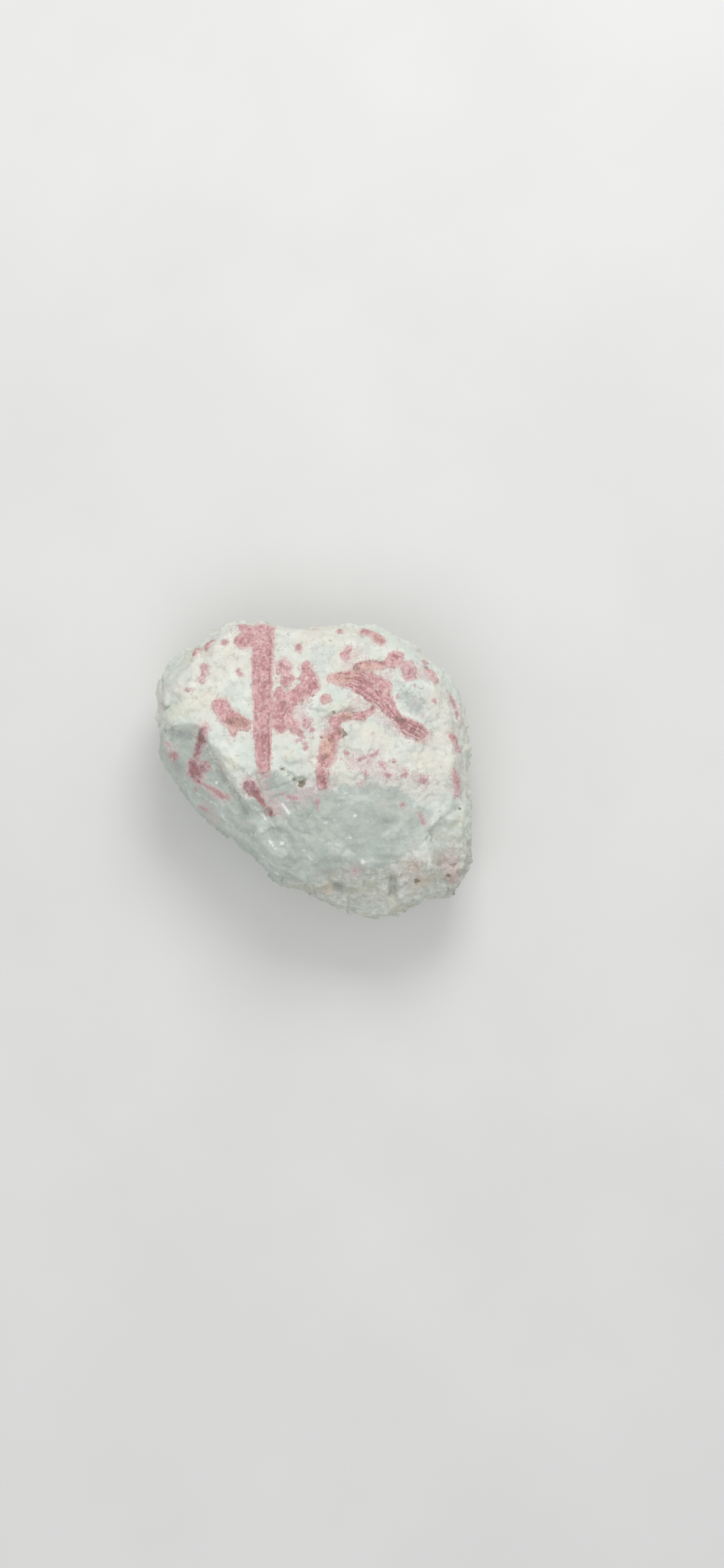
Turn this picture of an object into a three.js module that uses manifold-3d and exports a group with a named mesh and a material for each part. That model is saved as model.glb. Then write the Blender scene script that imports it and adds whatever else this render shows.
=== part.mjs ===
// Tourmaline in quartz: a loose hand specimen of milky quartz and pale feldspar, broken on all
// sides, with pink tourmaline crystals grown into its face.
// Millimetres, +Z up. The stone lies on its broad back with the crystal face up, its bright end
// towards +Y. The origin is the middle of its bounding box on the surface it rests on.

import * as THREE from 'three';
import { mergeVertices } from 'three/addons/utils/BufferGeometryUtils.js';
import Module from 'manifold-3d';

const wasm = await Module();
wasm.setup();

// Driving sizes
const GAP = 0.3; // free space between a crystal and the stone round it
const RIM_HEIGHT = 17; // where the stone is widest
const RIM_WAVE = 3; // the widest line climbs by this much towards the bright end
const RIM_RIPPLE = 1.5; // and rises and falls by this much twice round the stone
const RIM_SHARE = 0.35; // share of the height over which the real outline gives way to the soft one
const CROWN_HEIGHT = 43; // top of the rough cobble before its facets are broken off
const SOLE_DEPTH = -3.5; // the cobble's back dips below the surface and is broken off flat there
const CROWN_POWER = 2.7; // roundness of the shoulders: 2 is an ellipse, higher is squarer
const SOLE_POWER = 2.4;
const SOFT_OUTLINE = 1; // away from the rim, the smoothed outline lies this much inside the real one
const CHIP_SIZE = 12; // spacing of the broken chips
const CHIP_DEPTH = 2.0;
const CHIP_CRISPNESS = 9; // how quickly one chip gives way to the next
const CHIP_TILT = 1.5; // steepest tilt of a chip, in chip heights over a chip's size
const CHIP_STEP = 0.7; // farthest that a chip's middle lies in or out, in chip heights
const MIDDLE = new THREE.Vector3(0, 0, 18);
const GRID = [19, 18, 10]; // steps over the stone's length, breadth and thickness

// The outline seen from above, clockwise from the left end.
const OUTLINE = [
  [-38.0, 21.2], [-35.5, 25.8], [-32.8, 29.4], [-29.8, 30.1], [-25.1, 33.2], [-22.4, 35.1],
  [-19.1, 35.2], [-13.7, 36.5], [-7.7, 34.8], [-3.8, 33.6], [2.2, 35.1], [8.2, 35.7],
  [10.7, 35.0], [12.3, 35.5], [15.9, 35.1], [19.7, 32.6], [24.6, 29.1], [28.4, 25.5],
  [30.3, 25.0], [34.4, 19.8], [36.1, 14.3], [37.9, 6.1], [36.9, 0.1], [37.7, -8.6],
  [37.1, -15.2], [38.0, -24.2], [34.4, -28.9], [32.2, -30.2], [27.3, -31.0], [23.0, -32.7],
  [19.7, -35.1], [14.8, -36.5], [9.3, -34.6], [4.9, -33.5], [-1.6, -29.4], [-8.2, -27.8],
  [-13.1, -23.4], [-18.6, -17.9], [-25.1, -13.0], [-31.2, -6.4], [-32.8, -3.7], [-37.2, 1.5],
  [-37.7, 3.9], [-36.3, 7.2], [-38.0, 12.7],
];

// A slope is a plane over the plan: a point on it, then its rise along X and along Y.
// The crystal face is broken along these, and the stone lies below all of them.
const FACE_SLOPES = {
  brightFace: { at: [0, 0, 40.6], rise: [0.02, -0.25] },
  brightRight: { at: [24, 10, 37.6], rise: [-0.42, -0.12] },
  brightLeft: { at: [-27, 20, 36.2], rise: [0.40, -0.16] },
  brightTop: { at: [4, 21, 35.6], rise: [-0.07, -0.40] },
  brightCorner: { at: [-22, 26, 35.2], rise: [0.16, -0.52] },
  topEdge: { at: [0, 29, 32.9], rise: [0.06, -0.85] },
  greyFace: { at: [0, -1, 40.4], rise: [0.03, 0.33] },
  greyRight: { at: [26, -12, 35.3], rise: [-0.45, 0.20] },
  roughEnd: { at: [8, -21, 33.8], rise: [0.02, 0.85] },
  nose: { at: [-15, -9, 37.6], rise: [0.45, 0.35] },
};

// A ledge is cut down to its floor, as far as its walls.
const LEDGES = {
  glassyCorner: {
    floor: { at: [-30, 0, 31.2], rise: [0.38, 0.22] },
    walls: [
      { at: [-33, 9.0, 32.0], rise: [0.2, 1.8] },
      { at: [-27, 7.5, 34.0], rise: [2.95, 1.88] },
    ],
  },
  streakedFace: {
    floor: { at: [-30, 0, 31.2], rise: [0.38, 0.22] },
    walls: [{ at: [-14, -10.5, 35.0], rise: [0.3, 2.2] }],
  },
  rightCorner: {
    floor: { at: [32, -16, 29.4], rise: [-0.35, 0.35] },
    walls: [
      { at: [28.4, -14.6, 31.0], rise: [-1.05, 2.27] },
      { at: [28.4, -17.0, 31.0], rise: [-2.0, -0.3] },
    ],
  },
};

// Flat breaks round the sides and under the stone: compass angle, elevation, and how much of
// the farthest point each takes off.
const SIDE_BREAKS = [
  [20, -34, 2.4], [55, -26, 2.2], [88, -44, 2.4], [122, -30, 2.4], [158, -42, 2.4],
  [186, -28, 2.2], [215, -46, 2.6], [248, -28, 2.8], [285, -48, 2.4], [318, -30, 2.4],
  [352, -50, 2.2], [84, 24, 1.6], [8, 26, 1.0], [222, 30, 3.2], [140, 30, 2.2], [300, 28, 2.2],
];

// Lumps of feldspar on the face: centre, half-lengths, turn on the face and forward tip in
// degrees, rise. A tipped lump stands out along its lower edge.
const LUMPS = {
  upperLeft: { at: [-30.5, 22.0], half: [7.5, 7.5], turn: 0, tip: 4, rise: 1.3 },
  overhang: { at: [3.6, 16.2], half: [10.5, 6.2], turn: 12, tip: 14, rise: 1.3 },
  centre: { at: [-4.4, 4.6], half: [6.8, 6.6], turn: 0, tip: 12, rise: 1.4 },
  right: { at: [24, 17.5], half: [8.0, 6.5], turn: -25, tip: 0, rise: 1.2 },
  underDiagonal: { at: [12, 5.5], half: [9.0, 5.5], turn: 5, tip: 10, rise: 1.0 },
};
const LUMP_THICKNESS = 4.5;
const LUMP_ROUGHNESS = 0.09; // share of its size by which a lump's skin comes and goes

// Crystals lying along the face: stations of centre and half-width, in order along the crystal.
const LONG_CRYSTAL = [
  [-12.6, 34.6, 2.6], [-12.7, 29.0, 2.55], [-12.7, 22.0, 2.45], [-12.5, 15.0, 2.3],
  [-12.3, 9.4, 2.05], [-12.1, 3.9, 1.65], [-11.8, -0.6, 1.1],
];
const LONG_CRYSTAL_HEAD = [[-17.6, 32.4, 2.3], [-15.2, 31.0, 2.3]];
const DIAGONAL_CRYSTAL = [
  [6.0, 21.7, 1.9], [9.3, 22.0, 2.5], [12.6, 20.9, 3.1], [15.6, 18.1, 2.9], [17.8, 14.9, 2.1],
  [19.7, 12.4, 1.7], [22.4, 9.9, 2.2], [26.4, 7.8, 1.9],
];
const LEFT_ROD = [[-26.9, 9.4, 1.3], [-27.8, 6.9, 1.4], [-28.6, 4.3, 1.5], [-28.6, 1.4, 1.7]];
const UPPER_BAND = [[9.2, 25.3, 1.0], [12.5, 25.9, 1.1], [15.5, 25.3, 1.3], [18.4, 26.2, 1.5]];
const UPPER_BAND_END = [[19.6, 27.0, 2.1]];
const RIGHT_EDGE = [[32.5, 9.3, 0.8], [33.5, 7.3, 1.1], [34.4, 5.2, 0.8]];
const LOWER_RIGHT_EDGE = [[33.8, -0.4, 0.8], [34.0, -2.8, 1.2], [33.8, -5.2, 0.9]];

// Clusters of stubby crystals seen end on: centre and radius of each.
const CLUSTERS = {
  cluster_beside_long_crystal: [
    [-7.6, 24.4, 2.1], [-6.9, 21.8, 2.0], [-6.7, 19.6, 1.8], [-2.2, 24.7, 1.8],
    [-1.5, 22.2, 2.0], [-0.8, 19.6, 2.2], [-3.6, 18.2, 2.0], [-7.4, 17.2, 2.0],
    [-8.2, 14.4, 2.4], [-8.2, 11.4, 2.0], [-5.6, 10.9, 1.8],
  ],
  left_cluster: [
    [-22.5, 16.0, 2.0], [-21.3, 13.4, 2.2], [-19.1, 11.6, 2.1], [-17.0, 11.9, 1.5],
    [-19.5, 9.2, 1.1],
  ],
  centre_cluster: [
    [5.5, 9.2, 1.7], [3.6, 6.9, 2.1], [3.0, 3.9, 2.2], [1.8, 1.5, 1.5], [6.9, 11.0, 1.5],
    [8.8, 12.6, 1.5],
  ],
  ledge_cluster: [[-15.0, -3.6, 1.9], [-14.1, -5.7, 1.6], [-13.0, -7.6, 1.5]],
  pale_round_crystal: [[22.9, 25.2, 2.1], [22.3, 23.0, 1.8]],
  rim_crystal: [[28.0, 22.3, 1.6]],
  top_right_pair: [[13.4, 32.9, 1.9], [15.0, 31.9, 2.1]],
  small_upper_crystal: [[7.4, 27.9, 1.3]],
  small_middle_crystal: [[-2.3, 11.6, 1.3]],
  lump_crystal: [[2.5, 17.1, 1.3]],
  upper_left_crystal: [[-26.3, 24.6, 1.5], [-27.0, 22.6, 1.1]],
  left_rim_crystal: [[-28.2, 28.8, 1.5], [-26.8, 29.6, 1.5]],
};
const LEFT_ROD_CLUSTER = [[-28.9, 1.4, 1.6], [-28.0, -0.7, 1.9], [-26.0, -1.0, 1.5]];

const LYING_DEPTH = 4.5;
const LYING_RISE = 0.8;
const FOOT_SHARE = 0.85; // width of a lying crystal's foot, as a share of its width at the face
const POCKET_HEIGHT = 6; // how far a pocket is cut out above its crystal's face
const POCKET_FLARE = 1.1; // width of a pocket at its top, as a share of its width at the face
const CLUSTER_DEPTH = 4;
const CLUSTER_RISE = 0.7;
const CLUSTER_STEP = 0.25; // difference in rise between the four heights of a cluster's crystals
const CLUSTER_SIDES = 6;
const CLUSTER_TURN = 0.7; // each crystal of a cluster is turned by this angle from the one before
const CLUSTER_TAPER = 0.9; // width of a crystal's foot, as a share of its top

const COLOURS = {
  quartz: 0xd6d3c6,
  pink: 0xd2a8a6,
  diagonalPink: 0xc9a19a,
  palePink: 0xdccac1,
  darkPink: 0xa9827a,
};

// A closed surface of triangles made into a solid, and a solid's surface

function solidOf(geometry) {
  const bare = geometry.index ? geometry.toNonIndexed() : geometry.clone();
  bare.deleteAttribute('normal');
  bare.deleteAttribute('uv');
  const merged = mergeVertices(bare, 1e-4);
  return new wasm.Manifold(new wasm.Mesh({
    numProp: 3,
    vertProperties: new Float32Array(merged.attributes.position.array),
    triVerts: new Uint32Array(merged.index.array),
  }));
}

function geometryOf(solid) {
  const { vertProperties, triVerts } = solid.getMesh();
  const geometry = new THREE.BufferGeometry();
  geometry.setAttribute('position', new THREE.BufferAttribute(vertProperties, 3));
  geometry.setIndex(new THREE.BufferAttribute(triVerts, 1));
  geometry.computeVertexNormals();
  return geometry;
}

function joined(solids) {
  return solids.reduce((whole, solid) => whole.add(solid));
}

// The outline as a distance from the middle in each direction

const corners = OUTLINE
  .map(([x, y]) => ({ angle: Math.atan2(y, x), radius: Math.hypot(x, y) }))
  .sort((a, b) => a.angle - b.angle);

function turnBetween(from, to) {
  return THREE.MathUtils.euclideanModulo(to - from, 2 * Math.PI);
}

function outlineRadius(angle) {
  const flat = THREE.MathUtils.euclideanModulo(angle + Math.PI, 2 * Math.PI) - Math.PI;
  const found = corners.findIndex((corner) => corner.angle > flat);
  const next = found < 0 ? 0 : found;
  const b = corners[next];
  const a = corners[(next + corners.length - 1) % corners.length];
  const span = turnBetween(a.angle, b.angle);
  const part = turnBetween(a.angle, flat);
  const across = a.radius * Math.sin(part) + b.radius * Math.sin(span - part);
  return (a.radius * b.radius * Math.sin(span)) / across;
}

function softRadius(angle) {
  const steps = [-3, -2, -1, 0, 1, 2, 3];
  const sum = steps.reduce((total, step) => total + outlineRadius(angle + step * 0.08), 0);
  return sum / steps.length - SOFT_OUTLINE;
}

// Broken chips: a soft patchwork of small tilted planes, from -1 to 1

function hash(x, y, z, seed) {
  let h = Math.imul(x, 73856093) ^ Math.imul(y, 19349663);
  h ^= Math.imul(z, 83492791) ^ Math.imul(seed, 40503);
  h = Math.imul(h ^ (h >>> 13), 1274126177);
  return ((h ^ (h >>> 16)) >>> 0) / 4294967296;
}

function chips(point) {
  const base = point.clone().divideScalar(CHIP_SIZE).floor();
  let total = 0;
  let weights = 0;
  for (let i = 0; i < 27; i += 1) {
    const x = base.x + (i % 3) - 1;
    const y = base.y + (Math.floor(i / 3) % 3) - 1;
    const z = base.z + Math.floor(i / 9) - 1;
    const heart = new THREE.Vector3(x + hash(x, y, z, 1), y + hash(x, y, z, 2), z + hash(x, y, z, 3));
    const tilt = new THREE.Vector3(hash(x, y, z, 4), hash(x, y, z, 5), hash(x, y, z, 6));
    tilt.subScalar(0.5).multiplyScalar(2 * CHIP_TILT);
    const away = point.clone().divideScalar(CHIP_SIZE).sub(heart);
    const weight = Math.exp(-CHIP_CRISPNESS * away.lengthSq());
    total += weight * ((2 * hash(x, y, z, 7) - 1) * CHIP_STEP + tilt.dot(away));
    weights += weight;
  }
  return total / weights;
}

// The rough cobble: a point of the unit sphere goes to the outline's radius and the height of a
// superellipse between the rim and the crown or the sole

function cobblePoint(direction) {
  const angle = Math.atan2(direction.y, direction.x);
  const flat = Math.hypot(direction.x, direction.y);
  const steep = Math.abs(direction.z);
  const up = direction.z > 0;
  const power = up ? CROWN_POWER : SOLE_POWER;
  const stretch = (flat ** power + steep ** power) ** (-1 / power);
  const out = stretch * flat;
  const lift = stretch * steep;
  const nearRim = Math.exp(-((lift / RIM_SHARE) ** 2));
  const radius = THREE.MathUtils.lerp(softRadius(angle), outlineRadius(angle), nearRim);
  const rim = RIM_HEIGHT + RIM_WAVE * Math.sin(angle) + RIM_RIPPLE * Math.cos(2 * angle + 1);
  const end = up ? CROWN_HEIGHT : SOLE_DEPTH;
  const point = new THREE.Vector3(
    out * radius * Math.cos(angle),
    out * radius * Math.sin(angle),
    rim + lift * (end - rim),
  );
  const outward = new THREE.Vector3(
    out * out * Math.cos(angle),
    out * out * Math.sin(angle),
    Math.sign(direction.z) * lift * lift,
  ).normalize();
  const depth = CHIP_DEPTH * (0.25 + 0.75 * lift);
  point.addScaledVector(outward, depth * chips(point));
  point.z = Math.max(point.z, 0);
  return point;
}

function cobble() {
  const geometry = new THREE.BoxGeometry(2, 2, 2, ...GRID);
  const places = geometry.attributes.position;
  const direction = new THREE.Vector3();
  for (let i = 0; i < places.count; i += 1) {
    direction.fromBufferAttribute(places, i).multiplyScalar(Math.PI / 4);
    direction.set(Math.tan(direction.x), Math.tan(direction.y), Math.tan(direction.z)).normalize();
    const point = cobblePoint(direction);
    places.setXYZ(i, point.x, point.y, point.z);
  }
  return solidOf(geometry);
}

// Everything beyond a plane, as one big block to cut with

function beyond(normal, pointOnPlane) {
  const block = new THREE.BoxGeometry(300, 300, 200);
  block.translate(0, 0, 100);
  block.applyQuaternion(new THREE.Quaternion().setFromUnitVectors(new THREE.Vector3(0, 0, 1), normal));
  block.translate(pointOnPlane.x, pointOnPlane.y, pointOnPlane.z);
  return solidOf(block);
}

function above(slope) {
  const normal = new THREE.Vector3(-slope.rise[0], -slope.rise[1], 1).normalize();
  return beyond(normal, new THREE.Vector3(...slope.at));
}

function ledgeCut(ledge) {
  return ledge.walls.reduce((cut, wall) => cut.intersect(above(wall)), above(ledge.floor));
}

function sideBreak(stone, [compass, elevation, bite]) {
  const turn = THREE.MathUtils.degToRad(compass);
  const lift = THREE.MathUtils.degToRad(elevation);
  const flat = Math.cos(lift);
  const normal = new THREE.Vector3(flat * Math.cos(turn), flat * Math.sin(turn), Math.sin(lift));
  const places = stone.getMesh().vertProperties;
  const corner = new THREE.Vector3();
  let reach = 0;
  for (let i = 0; i < places.length; i += 3) {
    corner.fromArray(places, i).sub(MIDDLE);
    reach = Math.max(reach, corner.dot(normal));
  }
  return beyond(normal, MIDDLE.clone().addScaledVector(normal, reach - bite));
}

// A place on a stone's face, found by looking straight down on it

const looker = new THREE.Raycaster();
const DOWN = new THREE.Vector3(0, 0, -1);

function topOf(mesh, x, y) {
  looker.set(new THREE.Vector3(x, y, 200), DOWN);
  const hits = looker.intersectObject(mesh);
  return hits.length ? hits[0].point : null;
}

function faceAt(mesh, x, y, reach = 2) {
  const middle = topOf(mesh, x, y);
  const east = topOf(mesh, x + reach, y) ?? middle;
  const west = topOf(mesh, x - reach, y) ?? middle;
  const north = topOf(mesh, x, y + reach) ?? middle;
  const south = topOf(mesh, x, y - reach) ?? middle;
  const normal = east.clone().sub(west).cross(north.clone().sub(south)).normalize();
  return { point: middle, normal };
}

function lump(mesh, { at, half, turn, tip, rise }) {
  const { point, normal } = faceAt(mesh, at[0], at[1], 4);
  const sphere = new THREE.IcosahedronGeometry(1, 2);
  sphere.deleteAttribute('normal');
  sphere.deleteAttribute('uv');
  const shape = mergeVertices(sphere);
  const places = shape.attributes.position;
  for (let i = 0; i < places.count; i += 1) {
    const swell = 1 + LUMP_ROUGHNESS * (2 * hash(i, Math.round(at[0]), Math.round(at[1]), 9) - 1);
    places.setXYZ(i, places.getX(i) * swell, places.getY(i) * swell, places.getZ(i) * swell);
  }
  shape.scale(half[0], half[1], LUMP_THICKNESS);
  shape.rotateX(THREE.MathUtils.degToRad(tip));
  shape.rotateZ(THREE.MathUtils.degToRad(turn));
  shape.applyQuaternion(new THREE.Quaternion().setFromUnitVectors(new THREE.Vector3(0, 0, 1), normal));
  const heart = point.clone().addScaledVector(normal, rise - LUMP_THICKNESS);
  shape.translate(heart.x, heart.y, heart.z);
  return solidOf(shape);
}

// A crystal lying in the face: a section with bevelled or ridged top, carried along stations

const BEVELLED = [[-1, 0.1], [-0.6, 1], [0.55, 1], [1, 0.1]];
const RIDGED = [[-1, 0], [-0.75, 0.9], [-0.4, 0.45], [-0.1, 1], [0.3, 0.5], [0.65, 0.9], [1, 0]];

function lyingCrystal(mesh, stations, topLine, grow = 0) {
  const places = stations.map(([x, y]) => faceAt(mesh, x, y));
  const rings = stations.map(([, , halfWidth], i) => {
    const { point, normal } = places[i];
    const before = places[Math.max(i - 1, 0)].point;
    const after = places[Math.min(i + 1, places.length - 1)].point;
    const along = after.clone().sub(before).normalize();
    const side = along.clone().cross(normal).normalize();
    const up = side.clone().cross(along);
    const end = i === 0 ? -1 : Number(i === stations.length - 1);
    const start = point.clone().addScaledVector(along, end * grow);
    const wide = halfWidth + grow;
    const foot = -LYING_DEPTH - grow;
    const edges = [topLine[0], topLine.at(-1)].map(([s, h]) => [s, h * LYING_RISE]);
    const top = grow
      ? [edges[0], [-POCKET_FLARE, POCKET_HEIGHT], [POCKET_FLARE, POCKET_HEIGHT], edges[1]]
      : topLine.map(([s, h]) => [s, h * LYING_RISE]);
    const line = [[-FOOT_SHARE, foot], ...top, [FOOT_SHARE, foot]];
    return line.map(([s, h]) => start.clone().addScaledVector(side, s * wide).addScaledVector(up, h));
  });
  return solidOf(loft(rings));
}

function loft(rings) {
  const count = rings[0].length;
  const places = rings.flat().flatMap((point) => point.toArray());
  const faces = [];
  for (let ring = 0; ring < rings.length - 1; ring += 1) {
    for (let i = 0; i < count; i += 1) {
      const a = ring * count + i;
      const b = ring * count + ((i + 1) % count);
      faces.push(a, b, b + count, a, b + count, a + count);
    }
  }
  const last = (rings.length - 1) * count;
  for (let i = 1; i < count - 1; i += 1) {
    faces.push(0, i + 1, i);
    faces.push(last, last + i, last + i + 1);
  }
  const geometry = new THREE.BufferGeometry();
  geometry.setAttribute('position', new THREE.Float32BufferAttribute(places, 3));
  geometry.setIndex(faces);
  return geometry;
}

// A cluster: stubby six-sided crystals standing in the face, grown together

function standingCrystal(mesh, [x, y, radius], order, grow) {
  const { point, normal } = faceAt(mesh, x, y, 2.5);
  const rise = grow ? POCKET_HEIGHT : CLUSTER_RISE + CLUSTER_STEP * ((order * 3) % 4);
  const depth = CLUSTER_DEPTH + grow;
  const length = depth + rise;
  const wide = radius + grow;
  const shape = new THREE.CylinderGeometry(wide, wide * CLUSTER_TAPER, length, CLUSTER_SIDES);
  shape.rotateX(Math.PI / 2);
  shape.rotateZ(order * CLUSTER_TURN);
  shape.translate(0, 0, (rise - depth) / 2);
  shape.applyQuaternion(new THREE.Quaternion().setFromUnitVectors(new THREE.Vector3(0, 0, 1), normal));
  shape.translate(point.x, point.y, point.z);
  return solidOf(shape);
}

function cluster(mesh, crystals, grow = 0) {
  return joined(crystals.map((crystal, i) => standingCrystal(mesh, crystal, i + 1, grow)));
}

// The stone before its crystals

function brokenStone() {
  let stone = cobble();
  const facets = SIDE_BREAKS.map((facet) => sideBreak(stone, facet));
  for (const facet of facets) stone = stone.subtract(facet);
  for (const slope of Object.values(FACE_SLOPES)) stone = stone.subtract(above(slope));
  for (const ledge of Object.values(LEDGES)) stone = stone.subtract(ledgeCut(ledge));
  const bare = new THREE.Mesh(geometryOf(stone));
  return joined([stone, ...Object.values(LUMPS).map((each) => lump(bare, each))]);
}

// Each crystal, and the pocket it sits in

function crystalShapes(mesh) {
  const shapes = {
    long_crystal: (grow) => joined([
      lyingCrystal(mesh, LONG_CRYSTAL, BEVELLED, grow),
      lyingCrystal(mesh, LONG_CRYSTAL_HEAD, BEVELLED, grow),
    ]),
    diagonal_crystal: (grow) => lyingCrystal(mesh, DIAGONAL_CRYSTAL, RIDGED, grow),
    left_rod_and_cluster: (grow) => joined([
      lyingCrystal(mesh, LEFT_ROD, BEVELLED, grow),
      cluster(mesh, LEFT_ROD_CLUSTER, grow),
    ]),
    upper_band_crystals: (grow) => joined([
      lyingCrystal(mesh, UPPER_BAND, BEVELLED, grow),
      cluster(mesh, UPPER_BAND_END, grow),
    ]),
    right_edge_crystal: (grow) => lyingCrystal(mesh, RIGHT_EDGE, BEVELLED, grow),
    lower_right_edge_crystal: (grow) => lyingCrystal(mesh, LOWER_RIGHT_EDGE, BEVELLED, grow),
  };
  for (const [name, crystals] of Object.entries(CLUSTERS)) {
    shapes[name] = (grow) => cluster(mesh, crystals, grow);
  }
  return shapes;
}

const CRYSTAL_COLOURS = {
  diagonal_crystal: COLOURS.diagonalPink,
  pale_round_crystal: COLOURS.palePink,
  upper_left_crystal: COLOURS.palePink,
  small_middle_crystal: COLOURS.palePink,
  left_rod_and_cluster: COLOURS.darkPink,
  ledge_cluster: COLOURS.darkPink,
};

function named(name, solid, colour, roughness) {
  const material = new THREE.MeshStandardMaterial({ color: colour, roughness, metalness: 0 });
  const mesh = new THREE.Mesh(geometryOf(solid), material);
  mesh.name = name;
  return mesh;
}

function specimen() {
  const group = new THREE.Group();
  let stone = brokenStone();
  const face = new THREE.Mesh(geometryOf(stone));
  const placed = [];
  for (const [name, shape] of Object.entries(crystalShapes(face))) {
    let crystal = shape(0);
    for (const pocket of placed) crystal = crystal.subtract(pocket);
    const pocket = shape(GAP);
    placed.push(pocket);
    stone = stone.subtract(pocket);
    group.add(named(name, crystal, CRYSTAL_COLOURS[name] ?? COLOURS.pink, 0.5));
  }
  group.add(named('quartz_stone', stone, COLOURS.quartz, 0.6));
  return group;
}

export default specimen();
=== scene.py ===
# %% [markdown]
# # Tourmaline in quartz
#
# A hand specimen is a piece of rock broken off with a hammer. This one is milky quartz grown
# together with pale feldspar, and pink tourmaline crystals lie in its face. The solids of the
# frame hold its size and its main breaks. This lesson gives it the fine shape of a broken
# surface and the finish of each mineral.

# %% Load the frame
import math

import bpy
import numpy as np
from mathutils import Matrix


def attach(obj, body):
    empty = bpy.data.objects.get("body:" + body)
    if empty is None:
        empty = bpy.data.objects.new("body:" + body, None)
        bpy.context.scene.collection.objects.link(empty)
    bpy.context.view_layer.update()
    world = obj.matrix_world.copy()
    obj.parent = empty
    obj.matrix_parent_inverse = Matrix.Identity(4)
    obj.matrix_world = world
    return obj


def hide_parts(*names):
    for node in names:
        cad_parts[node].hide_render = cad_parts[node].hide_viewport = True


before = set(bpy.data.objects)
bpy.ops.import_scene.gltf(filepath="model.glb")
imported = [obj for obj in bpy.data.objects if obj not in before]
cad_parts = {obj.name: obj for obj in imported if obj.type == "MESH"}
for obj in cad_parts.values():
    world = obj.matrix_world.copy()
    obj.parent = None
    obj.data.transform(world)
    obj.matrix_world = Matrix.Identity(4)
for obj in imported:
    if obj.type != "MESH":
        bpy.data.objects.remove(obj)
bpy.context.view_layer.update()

MM = 0.001

# %% [markdown]
# ## The camera
#
# The photograph looks straight at the crystal face. Here the stone lies on its back, so the
# camera hangs over it and looks straight down. A long lens from a metre away keeps the face and
# the rim, which lie at different depths, at the same scale. The photograph's frame is 945 by 2048
# pixels, and a pixel is 0.1863 mm at the stone, so the frame's middle lies a little to the right
# of the stone and below it.

# %% Camera
PHOTO = (945, 2048)
PIXEL = 0.1863
STONE_PIXEL = (411.75, 1006.5)
RIM_LEVEL = 20.0
CAMERA_DISTANCE = 1000.0
CAMERA_SIGHT = 10

frame_height = PHOTO[1] * PIXEL
eye_x = (PHOTO[0] / 2 - STONE_PIXEL[0]) * PIXEL
eye_y = (STONE_PIXEL[1] - PHOTO[1] / 2) * PIXEL


def in_scene(name, data):
    """An object that holds the data, linked into the scene."""
    made = bpy.data.objects.new(name, data)
    bpy.context.scene.collection.objects.link(made)
    return made


camera_data = bpy.data.cameras.new("camera")
camera_data.sensor_fit = "VERTICAL"
camera_data.angle = 2 * math.atan(frame_height / 2 / CAMERA_DISTANCE)
camera_data.clip_end = CAMERA_SIGHT
camera = in_scene("camera", camera_data)
camera.location = (eye_x * MM, eye_y * MM, (CAMERA_DISTANCE + RIM_LEVEL) * MM)
bpy.context.scene.camera = camera
print("camera over", round(eye_x, 1), round(eye_y, 1), "mm")

# %% [markdown]
# ## Numbers that look random and never change
#
# Broken rock needs irregular numbers that are the same each time. A hash gives them: it takes a
# whole-number place and stirs its bits. Two patterns are built on it. Smooth noise blends the
# numbers at the corners of small cubes. Chips give every cube one small tilted plane and blend
# the planes, which looks like a surface knocked off in flakes.

# %% Hash and smooth noise
STIRS = (73856093, 19349663, 83492791, 40503)
LAST_STIR = 1274126177
ALL_BITS = 0xFFFFFFFF


def hash01(x, y, z, seed):
    """A number from 0 to 1 for a whole-number place. Each coordinate and the seed are multiplied
    by large numbers and mixed bit by bit, and high bits are folded onto low ones."""
    h = (x * STIRS[0]) ^ (y * STIRS[1]) ^ (z * STIRS[2]) ^ (seed * STIRS[3])
    h = h & ALL_BITS
    h = ((h ^ (h >> 13)) * LAST_STIR) & ALL_BITS
    return (h ^ (h >> 16)) / (ALL_BITS + 1.0)


def s_curve(part):
    """3t^2 - 2t^3, which goes from 0 to 1 and is level at both ends."""
    return part * part * (3 - 2 * part)


def smooth_step(value, low, high):
    """0 below low, 1 above high, and an s-curve between."""
    return s_curve(np.clip((value - low) / (high - low), 0, 1))


def noise(points, size, seed):
    """Smooth noise from -1 to 1. The eight corners of the cell round a point have random values,
    and they are blended along each axis by an s-curve."""
    scaled = points / size
    base = np.floor(scaled).astype(np.int64)
    part = s_curve(scaled - base)
    total = np.zeros(len(points))
    for step in np.ndindex(2, 2, 2):
        corner = np.array(step[::-1])
        weight = np.prod(np.where(corner, part, 1 - part), axis=1)
        total += weight * hash01(*(base + corner).T, seed)
    return 2 * total - 1


def noises(points, *layers):
    """Noise of several sizes added up. A layer is its height, its size and its seed."""
    return sum(height * noise(points, size, seed) for height, size, seed in layers)


print("a hash:", round(float(hash01(np.int64(3), np.int64(-2), np.int64(5), 1)), 4))

# %% Chips
TINY = 1e-9
TILT, LEVEL = 1.5, 0.7


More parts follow.
